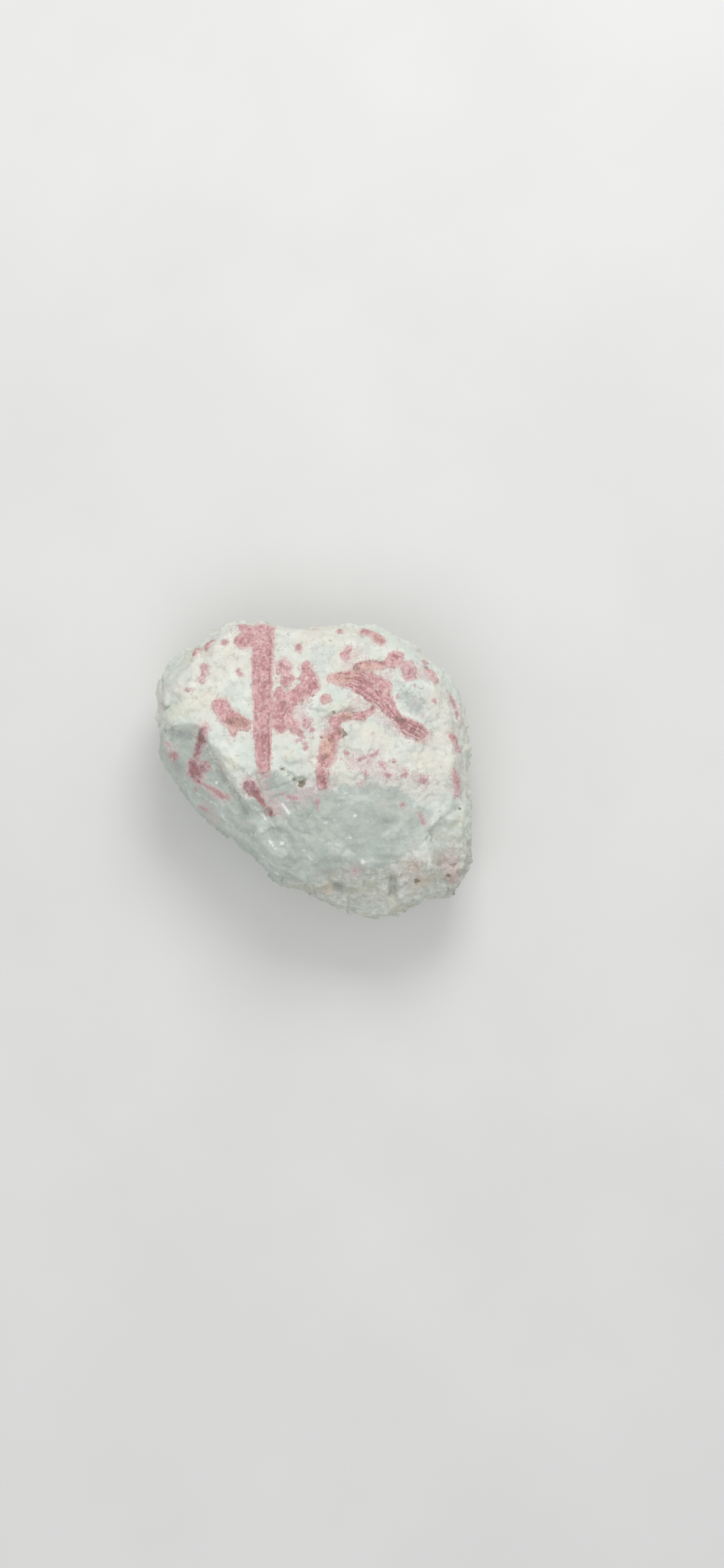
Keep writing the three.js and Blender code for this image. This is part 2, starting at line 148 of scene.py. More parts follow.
def chips(points, size, sharp=9.0, seed=0):
    """A patchwork of tilted planes, from about -1 to 1. Each cell of space has a heart with a
    level and a tilt, and a point takes the mean of the planes of the hearts round it, weighted
    by exp(-sharp * distance squared). A high sharp gives crisp edges."""
    scaled = points / size
    base = np.floor(scaled).astype(np.int64)
    total = np.zeros(len(points))
    weights = np.full(len(points), TINY)
    for step in np.ndindex(3, 3, 3):
        cell = base + np.array(step[::-1]) - 1
        dice = [hash01(*cell.T, seed + k) for k in range(1, 8)]
        away = scaled - (cell + np.stack(dice[:3], axis=1))
        tilt = np.stack(dice[3:6], axis=1) * 2 * TILT - TILT
        level = dice[6] * 2 * LEVEL - LEVEL
        weight = np.exp(-sharp * (away**2).sum(axis=1))
        total += weight * (level + (tilt * away).sum(axis=1))
        weights += weight
    return total / weights


def several_chips(points, *layers):
    """Chips of several sizes added up. A layer is its height, its size, its sharpness and its
    seed."""
    return sum(height * chips(points, *layer) for height, *layer in layers)


print("chips at a point:", round(float(chips(np.array([[1.0, 2.0, 3.0]]), 12.0)[0]), 3))

# %% [markdown]
# ## The outline
#
# Seen from the camera the stone is a blunt wedge with a notch at the top and one at the left.
# The outline is kept as its corners, in millimetres, and read as a distance from the middle in
# each direction. Away from the widest line a softened copy is used, or the notches would run down
# the sides like flutes.

# %% Outline
OUTLINE = np.array([
    [-38.0, 21.2], [-35.5, 25.8], [-32.8, 29.4], [-29.8, 30.1], [-25.1, 33.2], [-22.4, 35.1],
    [-19.1, 35.2], [-13.7, 36.5], [-7.7, 34.8], [-3.8, 33.6], [2.2, 35.1], [8.2, 35.7],
    [10.7, 35.0], [12.3, 35.5], [15.9, 35.1], [19.7, 32.6], [24.6, 29.1], [28.4, 25.5],
    [30.3, 25.0], [34.4, 19.8], [36.1, 14.3], [37.9, 6.1], [36.9, 0.1], [37.7, -8.6],
    [37.1, -15.2], [38.0, -24.2], [34.4, -28.9], [32.2, -30.2], [27.3, -31.0], [23.0, -32.7],
    [19.7, -35.1], [14.8, -36.5], [9.3, -34.6], [4.9, -33.5], [-1.6, -29.4], [-8.2, -27.8],
    [-13.1, -23.4], [-18.6, -17.9], [-25.1, -13.0], [-31.2, -6.4], [-32.8, -3.7], [-37.2, 1.5],
    [-37.7, 3.9], [-36.3, 7.2], [-38.0, 12.7],
])
SOFT_TURN, SOFT_TURNS, SOFT_INSET = 0.08, 3, 1.0

corner_angle = np.arctan2(OUTLINE[:, 1], OUTLINE[:, 0])
order = np.argsort(corner_angle)
corner_angle = corner_angle[order]
corner_radius = np.hypot(*OUTLINE[order].T)


def outline_radius(angle):
    """How far out a ray at that angle crosses the straight line between the corners beside it."""
    flat = (angle + np.pi) % (2 * np.pi) - np.pi
    after = np.searchsorted(corner_angle, flat, side="right") % len(corner_angle)
    before = after - 1
    span = (corner_angle[after] - corner_angle[before]) % (2 * np.pi)
    part = (flat - corner_angle[before]) % (2 * np.pi)
    a, b = corner_radius[before], corner_radius[after]
    return a * b * np.sin(span) / (a * np.sin(part) + b * np.sin(span - part))


def soft_radius(angle):
    """The mean of the outline over seven directions close together, less a millimetre."""
    turns = range(-SOFT_TURNS, SOFT_TURNS + 1)
    return sum(outline_radius(angle + SOFT_TURN * turn) for turn in turns) / len(turns) - SOFT_INSET


print("outline:", len(OUTLINE), "corners, reach", round(corner_radius.max(), 1), "mm")

# %% [markdown]
# ## The rough cobble
#
# The stone starts as a rounded cobble. Every direction from its heart goes to one point: the
# outline gives how far out, and a superellipse gives how high. The back of the cobble dips below
# the table and is flattened there, which is the face that the stone lies on.

# %% Cobble
RIM_HEIGHT, RIM_WAVE, RIM_RIPPLE, RIM_SHARE = 17.0, 3.0, 1.5, 0.35
CROWN_HEIGHT, SOLE_DEPTH = 43.0, -3.5
CROWN_POWER, SOLE_POWER = 2.7, 2.4
CHIP_SIZE, CHIP_DEPTH, RIM_CHIPS = 12.0, 2.0, 0.25
HEART = np.array([0.0, 0.0, 18.0])


def unit(vectors):
    """Each row divided by its own length."""
    return vectors / np.maximum(np.linalg.norm(vectors, axis=-1, keepdims=True), TINY)


def cobble(direction):
    """Out and up parts of the direction are stretched until out^p + up^p is 1. Out is then a
    share of the outline's radius, and up a share of the way from the rim to the crown or sole.
    Big chips then move the surface in and out, less at the rim."""
    x, y, z = direction.T
    angle = np.arctan2(y, x)
    across, along = np.cos(angle), np.sin(angle)
    flat, steep = np.hypot(x, y), np.abs(z)
    power = np.where(z > 0, CROWN_POWER, SOLE_POWER)
    stretch = (flat**power + steep**power) ** (-1 / power)
    out, lift = stretch * flat, stretch * steep
    near_rim = np.exp(-((lift / RIM_SHARE) ** 2))
    reach = out * (soft_radius(angle) * (1 - near_rim) + outline_radius(angle) * near_rim)
    rim = RIM_HEIGHT + RIM_WAVE * along + RIM_RIPPLE * np.cos(2 * angle + 1)
    end = np.where(z > 0, CROWN_HEIGHT, SOLE_DEPTH)
    points = np.stack([reach * across, reach * along, rim + lift * (end - rim)], axis=1)
    outward = unit(np.stack([out**2 * across, out**2 * along, np.sign(z) * lift**2], axis=1))
    depth = CHIP_DEPTH * (RIM_CHIPS + (1 - RIM_CHIPS) * lift) * chips(points, CHIP_SIZE)
    points += outward * depth[:, None]
    points[:, 2] = np.maximum(points[:, 2], 0)
    return points


print("crown at", cobble(np.array([[0.0, 0.0, 1.0]])).round(1)[0].tolist(), "mm")

# %% [markdown]
# ## Breaks, ledges and lumps
#
# A hammer leaves flat breaks. Those on the face are planes over the plan, each given by one point
# and its rise along X and along Y, and the stone lies below all of them. A ledge is cut down to
# its floor as far as its walls. Round the sides, planes shave the farthest point off. Last come
# the lumps of feldspar, which are parts of ellipsoids, and a point on the face takes whichever
# is higher.

# %% Breaks of the face and of the sides
FACE_SLOPES = [
    ((0, 0, 40.6), (0.02, -0.25)),
    ((24, 10, 37.6), (-0.42, -0.12)),
    ((-27, 20, 36.2), (0.40, -0.16)),
    ((4, 21, 35.6), (-0.07, -0.40)),
    ((-22, 26, 35.2), (0.16, -0.52)),
    ((0, 29, 32.9), (0.06, -0.85)),
    ((0, -1, 40.4), (0.03, 0.33)),
    ((26, -12, 35.3), (-0.45, 0.20)),
    ((8, -21, 33.8), (0.02, 0.85)),
    ((-15, -9, 37.6), (0.45, 0.35)),
]
GLASSY_FLOOR = ((-30, 0, 31.2), (0.38, 0.22))
LEDGES = [
    (GLASSY_FLOOR, ((-33, 9.0, 32.0), (0.2, 1.8)), ((-27, 7.5, 34.0), (2.95, 1.88))),
    (GLASSY_FLOOR, ((-14, -10.5, 35.0), (0.3, 2.2))),
    (((32, -16, 29.4), (-0.35, 0.35)), ((28.4, -14.6, 31.0), (-1.05, 2.27)),
     ((28.4, -17, 31.0), (-2.0, -0.3))),
]
# Compass direction and elevation in degrees, and how many millimetres are shaved off.
SIDE_BREAKS = [
    (20, -34, 2.4), (55, -26, 2.2), (88, -44, 2.4), (122, -30, 2.4), (158, -42, 2.4),
    (186, -28, 2.2), (215, -46, 2.6), (248, -28, 2.8), (285, -48, 2.4), (318, -30, 2.4),
    (352, -50, 2.2), (84, 24, 1.6), (8, 26, 1.0), (222, 30, 3.2), (140, 30, 2.2), (300, 28, 2.2),
]


def slope_height(slope, x, y):
    """Height of a plane over the plan: its point's height plus rise times distance."""
    (px, py, pz), (rise_x, rise_y) = slope
    return pz + rise_x * (x - px) + rise_y * (y - py)


def cut_down(x, y, z):
    """Height brought down to the lowest slope or ledge. A ledge's own height is the higher of
    its floor and its walls."""
    for planes in [[slope] for slope in FACE_SLOPES] + LEDGES:
        z = np.minimum(z, np.max([slope_height(plane, x, y) for plane in planes], axis=0))
    return z


def break_planes(points):
    """For each side break, its outward normal and how far from the heart it lies: the farthest
    point that way, less the bite."""
    planes = []
    for compass, elevation, bite in SIDE_BREAKS:
        c, e = math.radians(compass), math.radians(elevation)
        normal = np.array([math.cos(e) * math.cos(c), math.cos(e) * math.sin(c), math.sin(e)])
        planes.append((normal, ((points - HEART) @ normal).max() - bite))
    return planes


def broken(points, side_planes):
    """Side breaks push points back along their normals. Slopes and ledges bring them straight
    down."""
    for normal, reach in side_planes:
        beyond = np.maximum((points - HEART) @ normal - reach, 0)
        points = points - beyond[:, None] * normal
    x, y, z = points.T
    return np.stack([x, y, cut_down(x, y, z)], axis=1)


print("breaks:", len(FACE_SLOPES), "on the face,", len(LEDGES), "ledges,", len(SIDE_BREAKS), "sides")

# %% Lumps
# Centre, half-lengths, turn on the face and forward tip in degrees, rise above the face.
LUMPS = [
    ((-30.5, 22.0), (7.5, 7.5), 0, 4, 1.3),
    ((3.6, 16.2), (10.5, 6.2), 12, 14, 1.3),
    ((-4.4, 4.6), (6.8, 6.6), 0, 12, 1.4),
    ((24.0, 17.5), (8.0, 6.5), -25, 0, 1.2),
    ((12.0, 5.5), (9.0, 5.5), 5, 10, 1.0),
]
LUMP_THICKNESS = 4.5
LUMP_WOBBLE = ((0.10, 4.0, 31), (0.05, 1.8, 32))
SLOPE_REACH = 4.0
FACE_LEVELS = (20.0, 29.0)
NOWHERE = -99.0


def turned(axis, degrees):
    """Rotation matrix about X (0) or Z (2)."""
    c, s = math.cos(math.radians(degrees)), math.sin(math.radians(degrees))
    if axis == 0:
        return np.array([[1, 0, 0], [0, c, -s], [0, s, c]])
    return np.array([[c, -s, 0], [s, c, 0], [0, 0, 1]])


def leaning(normal):
    """Rotation that takes straight up to the given direction."""
    x, y, z = normal
    k = 1 / (1 + z)
    return np.array([[1 - k * x * x, -k * x * y, x], [-k * x * y, 1 - k * y * y, y], [-x, -y, z]])


def face_normal(x, y):
    """The face's own direction round a place, from its heights a few millimetres either way."""
    east = cut_down(x + SLOPE_REACH, y, np.inf) - cut_down(x - SLOPE_REACH, y, np.inf)
    north = cut_down(x, y + SLOPE_REACH, np.inf) - cut_down(x, y - SLOPE_REACH, np.inf)
    return unit(np.array([-east / (2 * SLOPE_REACH), -north / (2 * SLOPE_REACH), 1.0]))


def lump_height(x, y, lump):
    """The upper side of a turned ellipsoid over each point of the plan: the higher root of a
    quadratic, or far below where there is none. Noise moves its edge in and out."""
    (cx, cy), half, turn, tip, rise = lump
    normal = face_normal(cx, cy)
    middle = np.array([cx, cy, cut_down(cx, cy, np.inf)]) + normal * (rise - LUMP_THICKNESS)
    shape = leaning(normal) @ turned(2, turn) @ turned(0, tip) @ np.diag([*half, LUMP_THICKNESS])
    inverse = np.linalg.inv(shape)
    places = np.stack([x, y, np.zeros_like(x)], axis=-1)
    wobble = 1 + noises(places, *LUMP_WOBBLE)
    flat = ((places - [middle[0], middle[1], 0]) * wobble[:, None]) @ inverse.T
    up = inverse[:, 2]
    b = flat @ up
    inside = b * b - (up @ up) * ((flat**2).sum(axis=1) - 1)
    root = (-b + np.sqrt(np.maximum(inside, 0))) / (up @ up)
    return np.where(inside > 0, middle[2] + root, NOWHERE)


def with_lumps(points):
    """A point goes up to the highest lump over it: all the way on the face, not at all low on
    the side, and part of the way between, so that a lump slopes down into the side."""
    x, y, z = points.T
    top = np.max([z, *(lump_height(x, y, lump) for lump in LUMPS)], axis=0)
    return np.stack([x, y, z + (top - z) * smooth_step(z, *FACE_LEVELS)], axis=1)


print("face at its middle:", round(float(cut_down(0.0, 0.0, np.inf)), 1), "mm high")

# %% [markdown]
# ## A closed grid round the stone
#
# The mesh is a box of grid cells blown up to a ball, so its squares stay nearly even and it has
# no poles. The grid corners are whole numbers on the box's sides. np.unique finds the corners
# that two sides share, which closes the seams.

# %% Grid
GRID = (156, 150, 66)
EVENING_ROUNDS = 2


def quads(table):
    """The four corners of every cell of a table, in order round the cell."""
    ring = [table[:-1, :-1], table[1:, :-1], table[1:, 1:], table[:-1, 1:]]
    return np.stack(ring, axis=2).reshape(-1, 4, *table.shape[2:])


def box_grid(counts):
    """Each side of the box is a table of cells. A cell's corner has a whole-number place, and
    equal places become one corner. Returns unit directions and the four corners of each cell."""
    cells = []
    for axis in range(3):
        a, b = (axis + 1) % 3, (axis + 2) % 3
        u, v = np.meshgrid(np.arange(counts[a] + 1), np.arange(counts[b] + 1), indexing="ij")
        for side in (0, 1):
            table = np.zeros(u.shape + (3,), dtype=np.int64)
            table[..., a], table[..., b], table[..., axis] = u, v, side * counts[axis]
            cells.append(quads(table) if side else quads(table)[:, ::-1])
    cells = np.concatenate(cells)
    places, corner = np.unique(cells.reshape(-1, 3), axis=0, return_inverse=True)
    spread = np.tan((2 * places / np.array(counts) - 1) * np.pi / 4)
    return unit(spread), corner.reshape(-1, 4)


def to_corners(cell_vectors, cells, count):
    """Each corner gets the sum of the vectors of the cells round it, made one unit long."""
    total = np.zeros((count, 3))
    for axis in range(3):
        for corner in cells.T:
            total[:, axis] += np.bincount(corner, cell_vectors[:, axis], minlength=count)
    return unit(total)


def vertex_normals(points, cells):
    """The cross product of each cell's diagonals is its area and direction. The sum over the
    cells round a corner is its normal, which is then evened out with its neighbours' normals."""
    a, b, c, d = points[cells].transpose(1, 0, 2)
    normals = to_corners(np.cross(c - a, d - b), cells, len(points))
    for _ in range(EVENING_ROUNDS):
        normals = to_corners(normals[cells].sum(axis=1), cells, len(points))
    return normals


directions, stone_cells = box_grid(GRID)
stone_cobble = cobble(directions)
side_planes = break_planes(stone_cobble)
stone_points = with_lumps(broken(stone_cobble, side_planes))
print("grid:", len(stone_points), "corners,", len(stone_cells), "cells")

# %% [markdown]
# ## Marks on the face
#
# Many features are a band or a patch along a short path: a crystal, a crack, a pit, a stain. All
# of them are written as a chain of stations, each a place seen from the camera and a half-width.
# The chain is first laid on the stone. It is then read as one number: how deep inside the chain
# a point lies, negative outside.

# %% Chains
LAY_ROUNDS = 5
WIDEST_SHARE = 0.985
LEVEL_SLACK = 1.0


def over_plan(x, y):
    """The directions whose cobble points lie over those places, before its chips. Out is the
    share of the soft outline's radius, and up follows from out^p + up^p = 1."""
    angle = np.arctan2(y, x)
    out = np.minimum(np.hypot(x, y) / soft_radius(angle), WIDEST_SHARE)
    up = (1 - out**CROWN_POWER) ** (1 / CROWN_POWER)
    return unit(np.stack([out * np.cos(angle), out * np.sin(angle), up], axis=-1))


def bare_face(direction):
    """The stone in those directions, with its breaks and lumps and without its relief."""
    return with_lumps(broken(cobble(direction), side_planes))


def aimed(x, y):
    """The directions whose stone points lie over those places: each round moves the aim by
    what the last one missed."""
    aim_x, aim_y = x.copy(), y.copy()
    for _ in range(LAY_ROUNDS):
        point = bare_face(over_plan(aim_x, aim_y))
        aim_x += x - point[:, 0]
        aim_y += y - point[:, 1]
    return over_plan(aim_x, aim_y)


def laid(chains):
    """The chains' stations on the stone: x, y and z, and the half-width."""
    every = np.array([station for chain in chains for station in chain], dtype=float)
    places = bare_face(aimed(every[:, 0], every[:, 1]))
    places = np.concatenate([places, every[:, 2:3]], axis=1)
    ends = np.cumsum([len(chain) for chain in chains])[:-1]
    return np.split(places, ends)


def inside_chain(points, stations):
    """The largest, over the chain's straight stretches, of half-width less distance. The
    half-width changes evenly along a stretch. Relief up to a millimetre high doesn't count as
    distance."""
    if len(stations) == 1:
        stations = np.repeat(stations, 2, axis=0)
    best = np.full(len(points), NOWHERE)
    for start, end in zip(stations[:-1], stations[1:]):
        stretch = end[:3] - start[:3]
        length = max(stretch @ stretch, TINY)
        part = np.clip((points - start[:3]) @ stretch / length, 0, 1)
        away = points - start[:3] - part[:, None] * stretch
        level = np.maximum(np.abs(away[:, 2]) - LEVEL_SLACK, 0)
        distance = np.sqrt(away[:, 0] ** 2 + away[:, 1] ** 2 + level**2)
        best = np.maximum(best, start[3] + part * (end[3] - start[3]) - distance)
    return best


def inside_chains(points, laid_chains):
    """How deep inside the nearest of several chains."""
    return np.max([inside_chain(points, stations) for stations in laid_chains], axis=0)


sample = inside_chain(np.array([[0.0, 2.0, 0.0]]), np.array([[0.0, 0.0, 0.0, 5.0]]))
print("a point 2 mm from the middle of a 5 mm spot is", sample[0], "mm inside")

# %% Cracks, pits and bumps
# A crack is a chain and its depth. A pit or a bump is one station and its depth or height. The
# knob is a bump with three stations.
CRACKS = [
    ([(-8.3, 1, 0.2), (-6.6, -0.6, 0.35), (-4.4, -2.4, 0.5)], 1),
    ([(-14.8, 0.6, 0.1), (-14.1, -1.7, 0.25), (-13.2, -4.2, 0.35), (-12.6, -6.4, 0.3)], 0.7),
    ([(-26, 6.9, 0.3), (-23, -0.6, 0.35), (-19.2, -5.4, 0.4), (-16.6, -10, 0.3)], 0.8),
    ([(-11.5, -4.9, 0.15), (-9.5, -4.5, 0.3), (-7.2, -3.4, 0.15)], 0.4),
    ([(16.6, 9.2, 0.2), (18.6, 7.7, 0.3), (22.5, 7, 0.2)], 0.5),
    ([(1, 11, 0.4), (4.6, 13.2, 0.6), (9.6, 13.9, 0.6), (13.8, 15, 0.4)], 0.7),
    ([(18.7, -26, 0.5), (19, -28, 0.9), (18.9, -30.2, 0.5)], 1.4),
    ([(27, -16.6, 0.3), (31, -11.8, 0.45), (34.6, -9.2, 0.4)], 0.9),
    ([(3.5, -26.5, 0.3), (6, -28.8, 0.6), (9, -29.4, 0.6), (12.5, -31.4, 0.3)], 0.8),
    ([(28.6, -22.3, 0.25), (31.5, -22.9, 0.35), (33.4, -22.9, 0.3), (36, -22, 0.25)], 0.8),
    ([(24, -23, 0.2), (26, -24.6, 0.35), (28.5, -24.2, 0.2)], 0.5),
    ([(-0.5, 25.3, 0.15), (-2, 28.7, 0.15), (2.5, 28.4, 0.15)], 0.3),
]
PITS = [
    (-3.4, -3, 1, 1.7), (-2.8, -2.5, 0.7, 1.2), (-10.9, -10, 0.8, 1.2), (-13.2, -5.6, 0.4, 0.5),
    (-34.3, 3.2, 0.8, 0.7), (24.7, -27, 1.2, 0.8), (32, -26.5, 1, 0.6), (5.6, -28.6, 1.1, 0.7),
    (26.9, 24.9, 0.5, 0.6), (25.6, 19.7, 0.5, 0.4), (28.7, -14.9, 0.4, 0.6),
    (34.9, -9.1, 0.5, 0.5),
]
KNOB = [(21.2, -26.5, 0.9), (21.0, -29.4, 1.3), (18.8, -32.6, 1.0)]
BUMPS = [
    (-8.6, -13, 0.8, 0.5), (6.4, -6, 1.4, 0.5), (25.5, -29.8, 1.3, 0.6), (-17, -7.6, 1.2, 0.5),
    (8.6, -13.6, 0.8, 0.3), (11.4, -22.2, 0.9, 0.5), (4.4, -0.8, 1.6, 0.5),
]
KNOB_HEIGHT, DENT_SOFT, BUMP_SOFT = 1.0, 0.7, 1.0

dents = CRACKS + [([(x, y, half)], depth) for x, y, half, depth in PITS]
bumps = [(KNOB, KNOB_HEIGHT)] + [([(x, y, half)], height) for x, y, half, height in BUMPS]
MARKS = [(laid([chain])[0], -depth, DENT_SOFT) for chain, depth in dents]
MARKS += [(laid([chain])[0], height, BUMP_SOFT) for chain, height in bumps]


def marks_relief(points):
    """Cracks and pits go in and bumps come out, each with a rounded profile: its height times an
    s-curve of how far inside the mark a point lies."""
    total = np.zeros(len(points))
    for stations, height, soft in MARKS:
        total += height * smooth_step(inside_chain(points, stations), -soft, soft)
    return total


print("marks:", len(dents), "dents and", len(bumps), "bumps")

# %% [markdown]
# ## Where each mineral is
#
# The upper part of the face is pale feldspar, the lower part glassy quartz, and the lowest edge
# is rough and mottled. The border between the first two runs along the ledge. These zones steer
# both the relief and, later, the colour, so they are worked out first.

# %% Zones
GLASS_BORDER = np.array([
    [-45, 12.0], [-38, 11.0], [-30, 9.6], [-26.5, 6.5], [-23.0, 0.5], [-19.0, -5.6], [-15.5, -6.0],
    [-13.0, -0.5], [-8.4, 0.2], [-4.0, -2.6], [1.0, -3.2], [6.0, -2.6], [12.0, -1.4], [16.0, -3.5],
    [21.0, -4.6], [27.0, -8.0], [33.0, -12.5], [45, -13.0],
])
MOTTLED_BORDER = np.array([[-45, -39.3], [3, -22.5], [24, -22.5], [45, -4.65]])
BORDER_WANDER = ((1.1, 5.0, 51), (0.7, 2.0, 52))
SIDE_WANDER, RIM_WANDER, EDGE_WANDER = (5, 15.0, 55), (2.5, 6.0, 54), (2.0, 6.0, 53)
FACE_FADE, GLASS_FADE, MOTTLED_FADE = (18, 26), (-1.5, 3.5), (-1.0, 4.0)
PALE_RIM, PALE_RIM_LEAN, PALE_RIM_SHARE = (33.5, 40), 0.8, 0.8
CORNER_X, CORNER_Y, CORNER_SHARE = 27, -14.5, 0.7
STREAKED_TOP, STREAKED_LEAN, STREAKED_RIGHT, STREAKED_WIDTH = -6.5, 0.25, 8, 8


def zones(points):
    """Four numbers from 0 to 1. Face is 1 on the side that the camera sees. Glass is 1 in the
    quartz, below its wandering border, and low again on the pale right rim. Mottled is 1 at the
    rough lowest edge and high in the corner under the right ledge. Streaked is 1 on the lower
    left face."""
    x, y, z = points.T
    face = smooth_step(z, *FACE_FADE)
    wander = noises(points, *BORDER_WANDER) + (1 - face) * noises(points, SIDE_WANDER)
    glass = smooth_step(np.interp(x, *GLASS_BORDER.T) - y + wander, *GLASS_FADE)
    rim = x - PALE_RIM_LEAN * y + noises(points, RIM_WANDER)
    glass *= 1 - PALE_RIM_SHARE * smooth_step(rim, *PALE_RIM)
    edge = np.interp(x, *MOTTLED_BORDER.T) - y + noises(points, EDGE_WANDER)
    mottled = smooth_step(edge, *MOTTLED_FADE)
    corner = smooth_step(x - CORNER_X, 0, 3) * smooth_step(CORNER_Y - y + 0.6 * wander, 0, 1.5)
    mottled = np.maximum(mottled, CORNER_SHARE * corner)
    streaked = smooth_step(STREAKED_TOP - y - STREAKED_LEAN * x + wander, 0, 4)
    streaked *= smooth_step(STREAKED_RIGHT - x, 0, STREAKED_WIDTH)
    return {"glass": glass, "mottled": mottled, "streaked": streaked, "face": face}


print("quartz covers", round(100 * zones(stone_points)["glass"].mean()), "percent of the grid")

# %% [markdown]
# ## Relief
#
# Real breaks have steps of every size. Chips of six and three millimetres give the broken look,
# finer ones give the sugary grain of the feldspar. The quartz is smoother, but on the lower left
# it has parallel ridges, which run down to the right. Everything is moved along the surface's own
# normal, first the coarse steps and then, with new normals, the fine ones.

# %% Relief
STREAK = np.array([0.81, 0.58])
STREAK_PITCH, STREAK_HEIGHT, STREAK_CLIMB = 2.7, 0.50, 0.8
COARSE_CHIPS = ((0.46, 6.5, 45.0, 200), (0.36, 3.2, 50.0, 300))
FINE_CHIPS = (0.19, 1.7, 40.0, 400)
GRAIN = (0.05, 0.9, 71)
FLAT_BACK = (0.2, 2.5)


def streaks(points):
    """A sawtooth across the streak direction, bent by noise: a slow climb and a quick drop."""
    across = points[:, :2] @ STREAK / STREAK_PITCH
    across += noises(points, (0.55, 7.0, 61), (0.25, 2.5, 62))
    part = across % 1.0
    saw = np.where(part < STREAK_CLIMB, part / STREAK_CLIMB, (1 - part) / (1 - STREAK_CLIMB))
    return saw * (0.5 + 0.5 * noise(points * [1, 1, 0.2], 6.0, 63))


def strength(zone, plain, quartz, mottled, side):
    """How strong the relief is: a plain value, less on the face's quartz, and more on the mottled
    edge and on the sides and back."""
    calm = plain - quartz * zone["glass"] * zone["face"] + mottled * zone["mottled"]
    return calm + side * (1 - zone["face"])


def coarse_relief(points):
    """Chips of two sizes, with the streaks and the marks."""
    zone = zones(points)
    calm = strength(zone, plain=0.8, quartz=0.35, mottled=0.25, side=0.4)
    big = several_chips(points, *COARSE_CHIPS) * calm
    lines = STREAK_HEIGHT * zone["streaked"] * zone["face"] * streaks(points)
    return big + lines + marks_relief(points)


def fine_relief(points):
    """Small chips and grain."""
    small = several_chips(points, FINE_CHIPS) + noises(points, GRAIN)
    return strength(zones(points), plain=1, quartz=0.55, mottled=0.4, side=0.5) * small


def displaced(points, normals, amount):
    """Points moved along their normals, but not near the flat back, which stays flat."""
    free = smooth_step(points[:, 2], *FLAT_BACK)
    moved = points + normals * (amount * free)[:, None]
    moved[:, 2] = np.maximum(moved[:, 2], 0)
    return moved


for relief in (coarse_relief, fine_relief):
    normals = vertex_normals(stone_points, stone_cells)
    stone_points = displaced(stone_points, normals, relief(stone_points))
stone_box = np.round([stone_points.min(axis=0), stone_points.max(axis=0)], 1)
print("stone from", *stone_box.tolist(), "mm")

# %% [markdown]
# ## Where the crystals are
#
# Each entry is one crystal, or group of crystals grown together, and one solid of the frame. The
# long ones have a middle line and grooves along it, with perhaps a group grown to them. The
# others are groups alone. Each also says how far it stands proud, in millimetres, and the
# record's slot that it takes its finish from. A seam is one deeper groove, at a share of the
# half-width.

# %% Table of crystals
PINK, PALE, BROWN_AND_SHADE = "pink_tourmaline", "pale_tourmaline", "brown_tourmaline"
LONG_CRYSTALS = {
    "long_crystal": {
        "bar": [(-12.4, 36.3, 1.9), (-12.4, 34.8, 2.8), (-12.5, 28, 2.6), (-12.6, 15, 2.5),
                (-12.5, 9.4, 2.35), (-12.3, 3.9, 2.15), (-11.9, -0.6, 1.5)],
        "group": [[(-17.2, 34.3, 1.5), (-15.4, 33.6, 1.8)], [(-17.6, 31.2, 1.9), (-15.4, 30.9, 1.9)]],
        "rise": 0.30, "grooves": 0.06, "seams": [0.66], "slot": PINK,
    },
    "diagonal_crystal": {
        "bar": [(5.6, 22, 1.8), (9.3, 21.9, 2.5), (12.8, 20.6, 3.1), (15.6, 18, 2.9),
                (17.9, 14.7, 1.7), (19.6, 12.3, 1.4), (22.4, 10.2, 2.3), (25.9, 8.2, 2.1)],
        "group": [[(3.9, 22, 1), (6, 22, 1.2)], [(13.2, 22.2, 1.3), (16.8, 20, 1.6)]],
        "rise": 0.40, "grooves": 0.14, "seams": [-0.8, -0.45, 0.1, 0.5], "slot": PINK,
    },
    "left_rod_and_cluster": {
        "bar": [(-26.2, 10.2, 1.3), (-27, 7.6, 1.3), (-28, 5.2, 1.2), (-28.5, 3, 0.9)],
        "group": [[(-29.2, 1.6, 1.6), (-28.3, -0.1, 2.2), (-27.6, -1.3, 1.4)],
                  [(-28, 0.5, 1.8), (-26.3, 0.7, 1.4)]],
        "rise": 0.30, "grooves": 0.06, "seams": [], "slot": BROWN_AND_SHADE,
    },
    "upper_band_crystals": {
        "bar": [(9.6, 24.8, 1.1), (13.1, 25.3, 1.3), (16.4, 25.2, 1.1), (18.4, 26, 1.3)],
        "group": [[(19.4, 26.8, 1.9), (19.1, 26.2, 1.7)]],
        "rise": 0.30, "grooves": 0.06, "seams": [0.6], "slot": PINK,
    },
    "right_edge_crystal": {
        "bar": [(32.4, 9.2, 0.6), (33.6, 7.3, 0.9), (34.7, 5, 0.8)],
        "group": [],
        "rise": 0.25, "grooves": 0.04, "seams": [], "slot": PINK,
    },
    "lower_right_edge_crystal": {
        "bar": [(33.2, 0, 0.5), (33.9, -3.2, 0.9), (34.4, -5.6, 0.7)],
        "group": [],
        "rise": 0.25, "grooves": 0.04, "seams": [], "slot": PINK,
    },
}
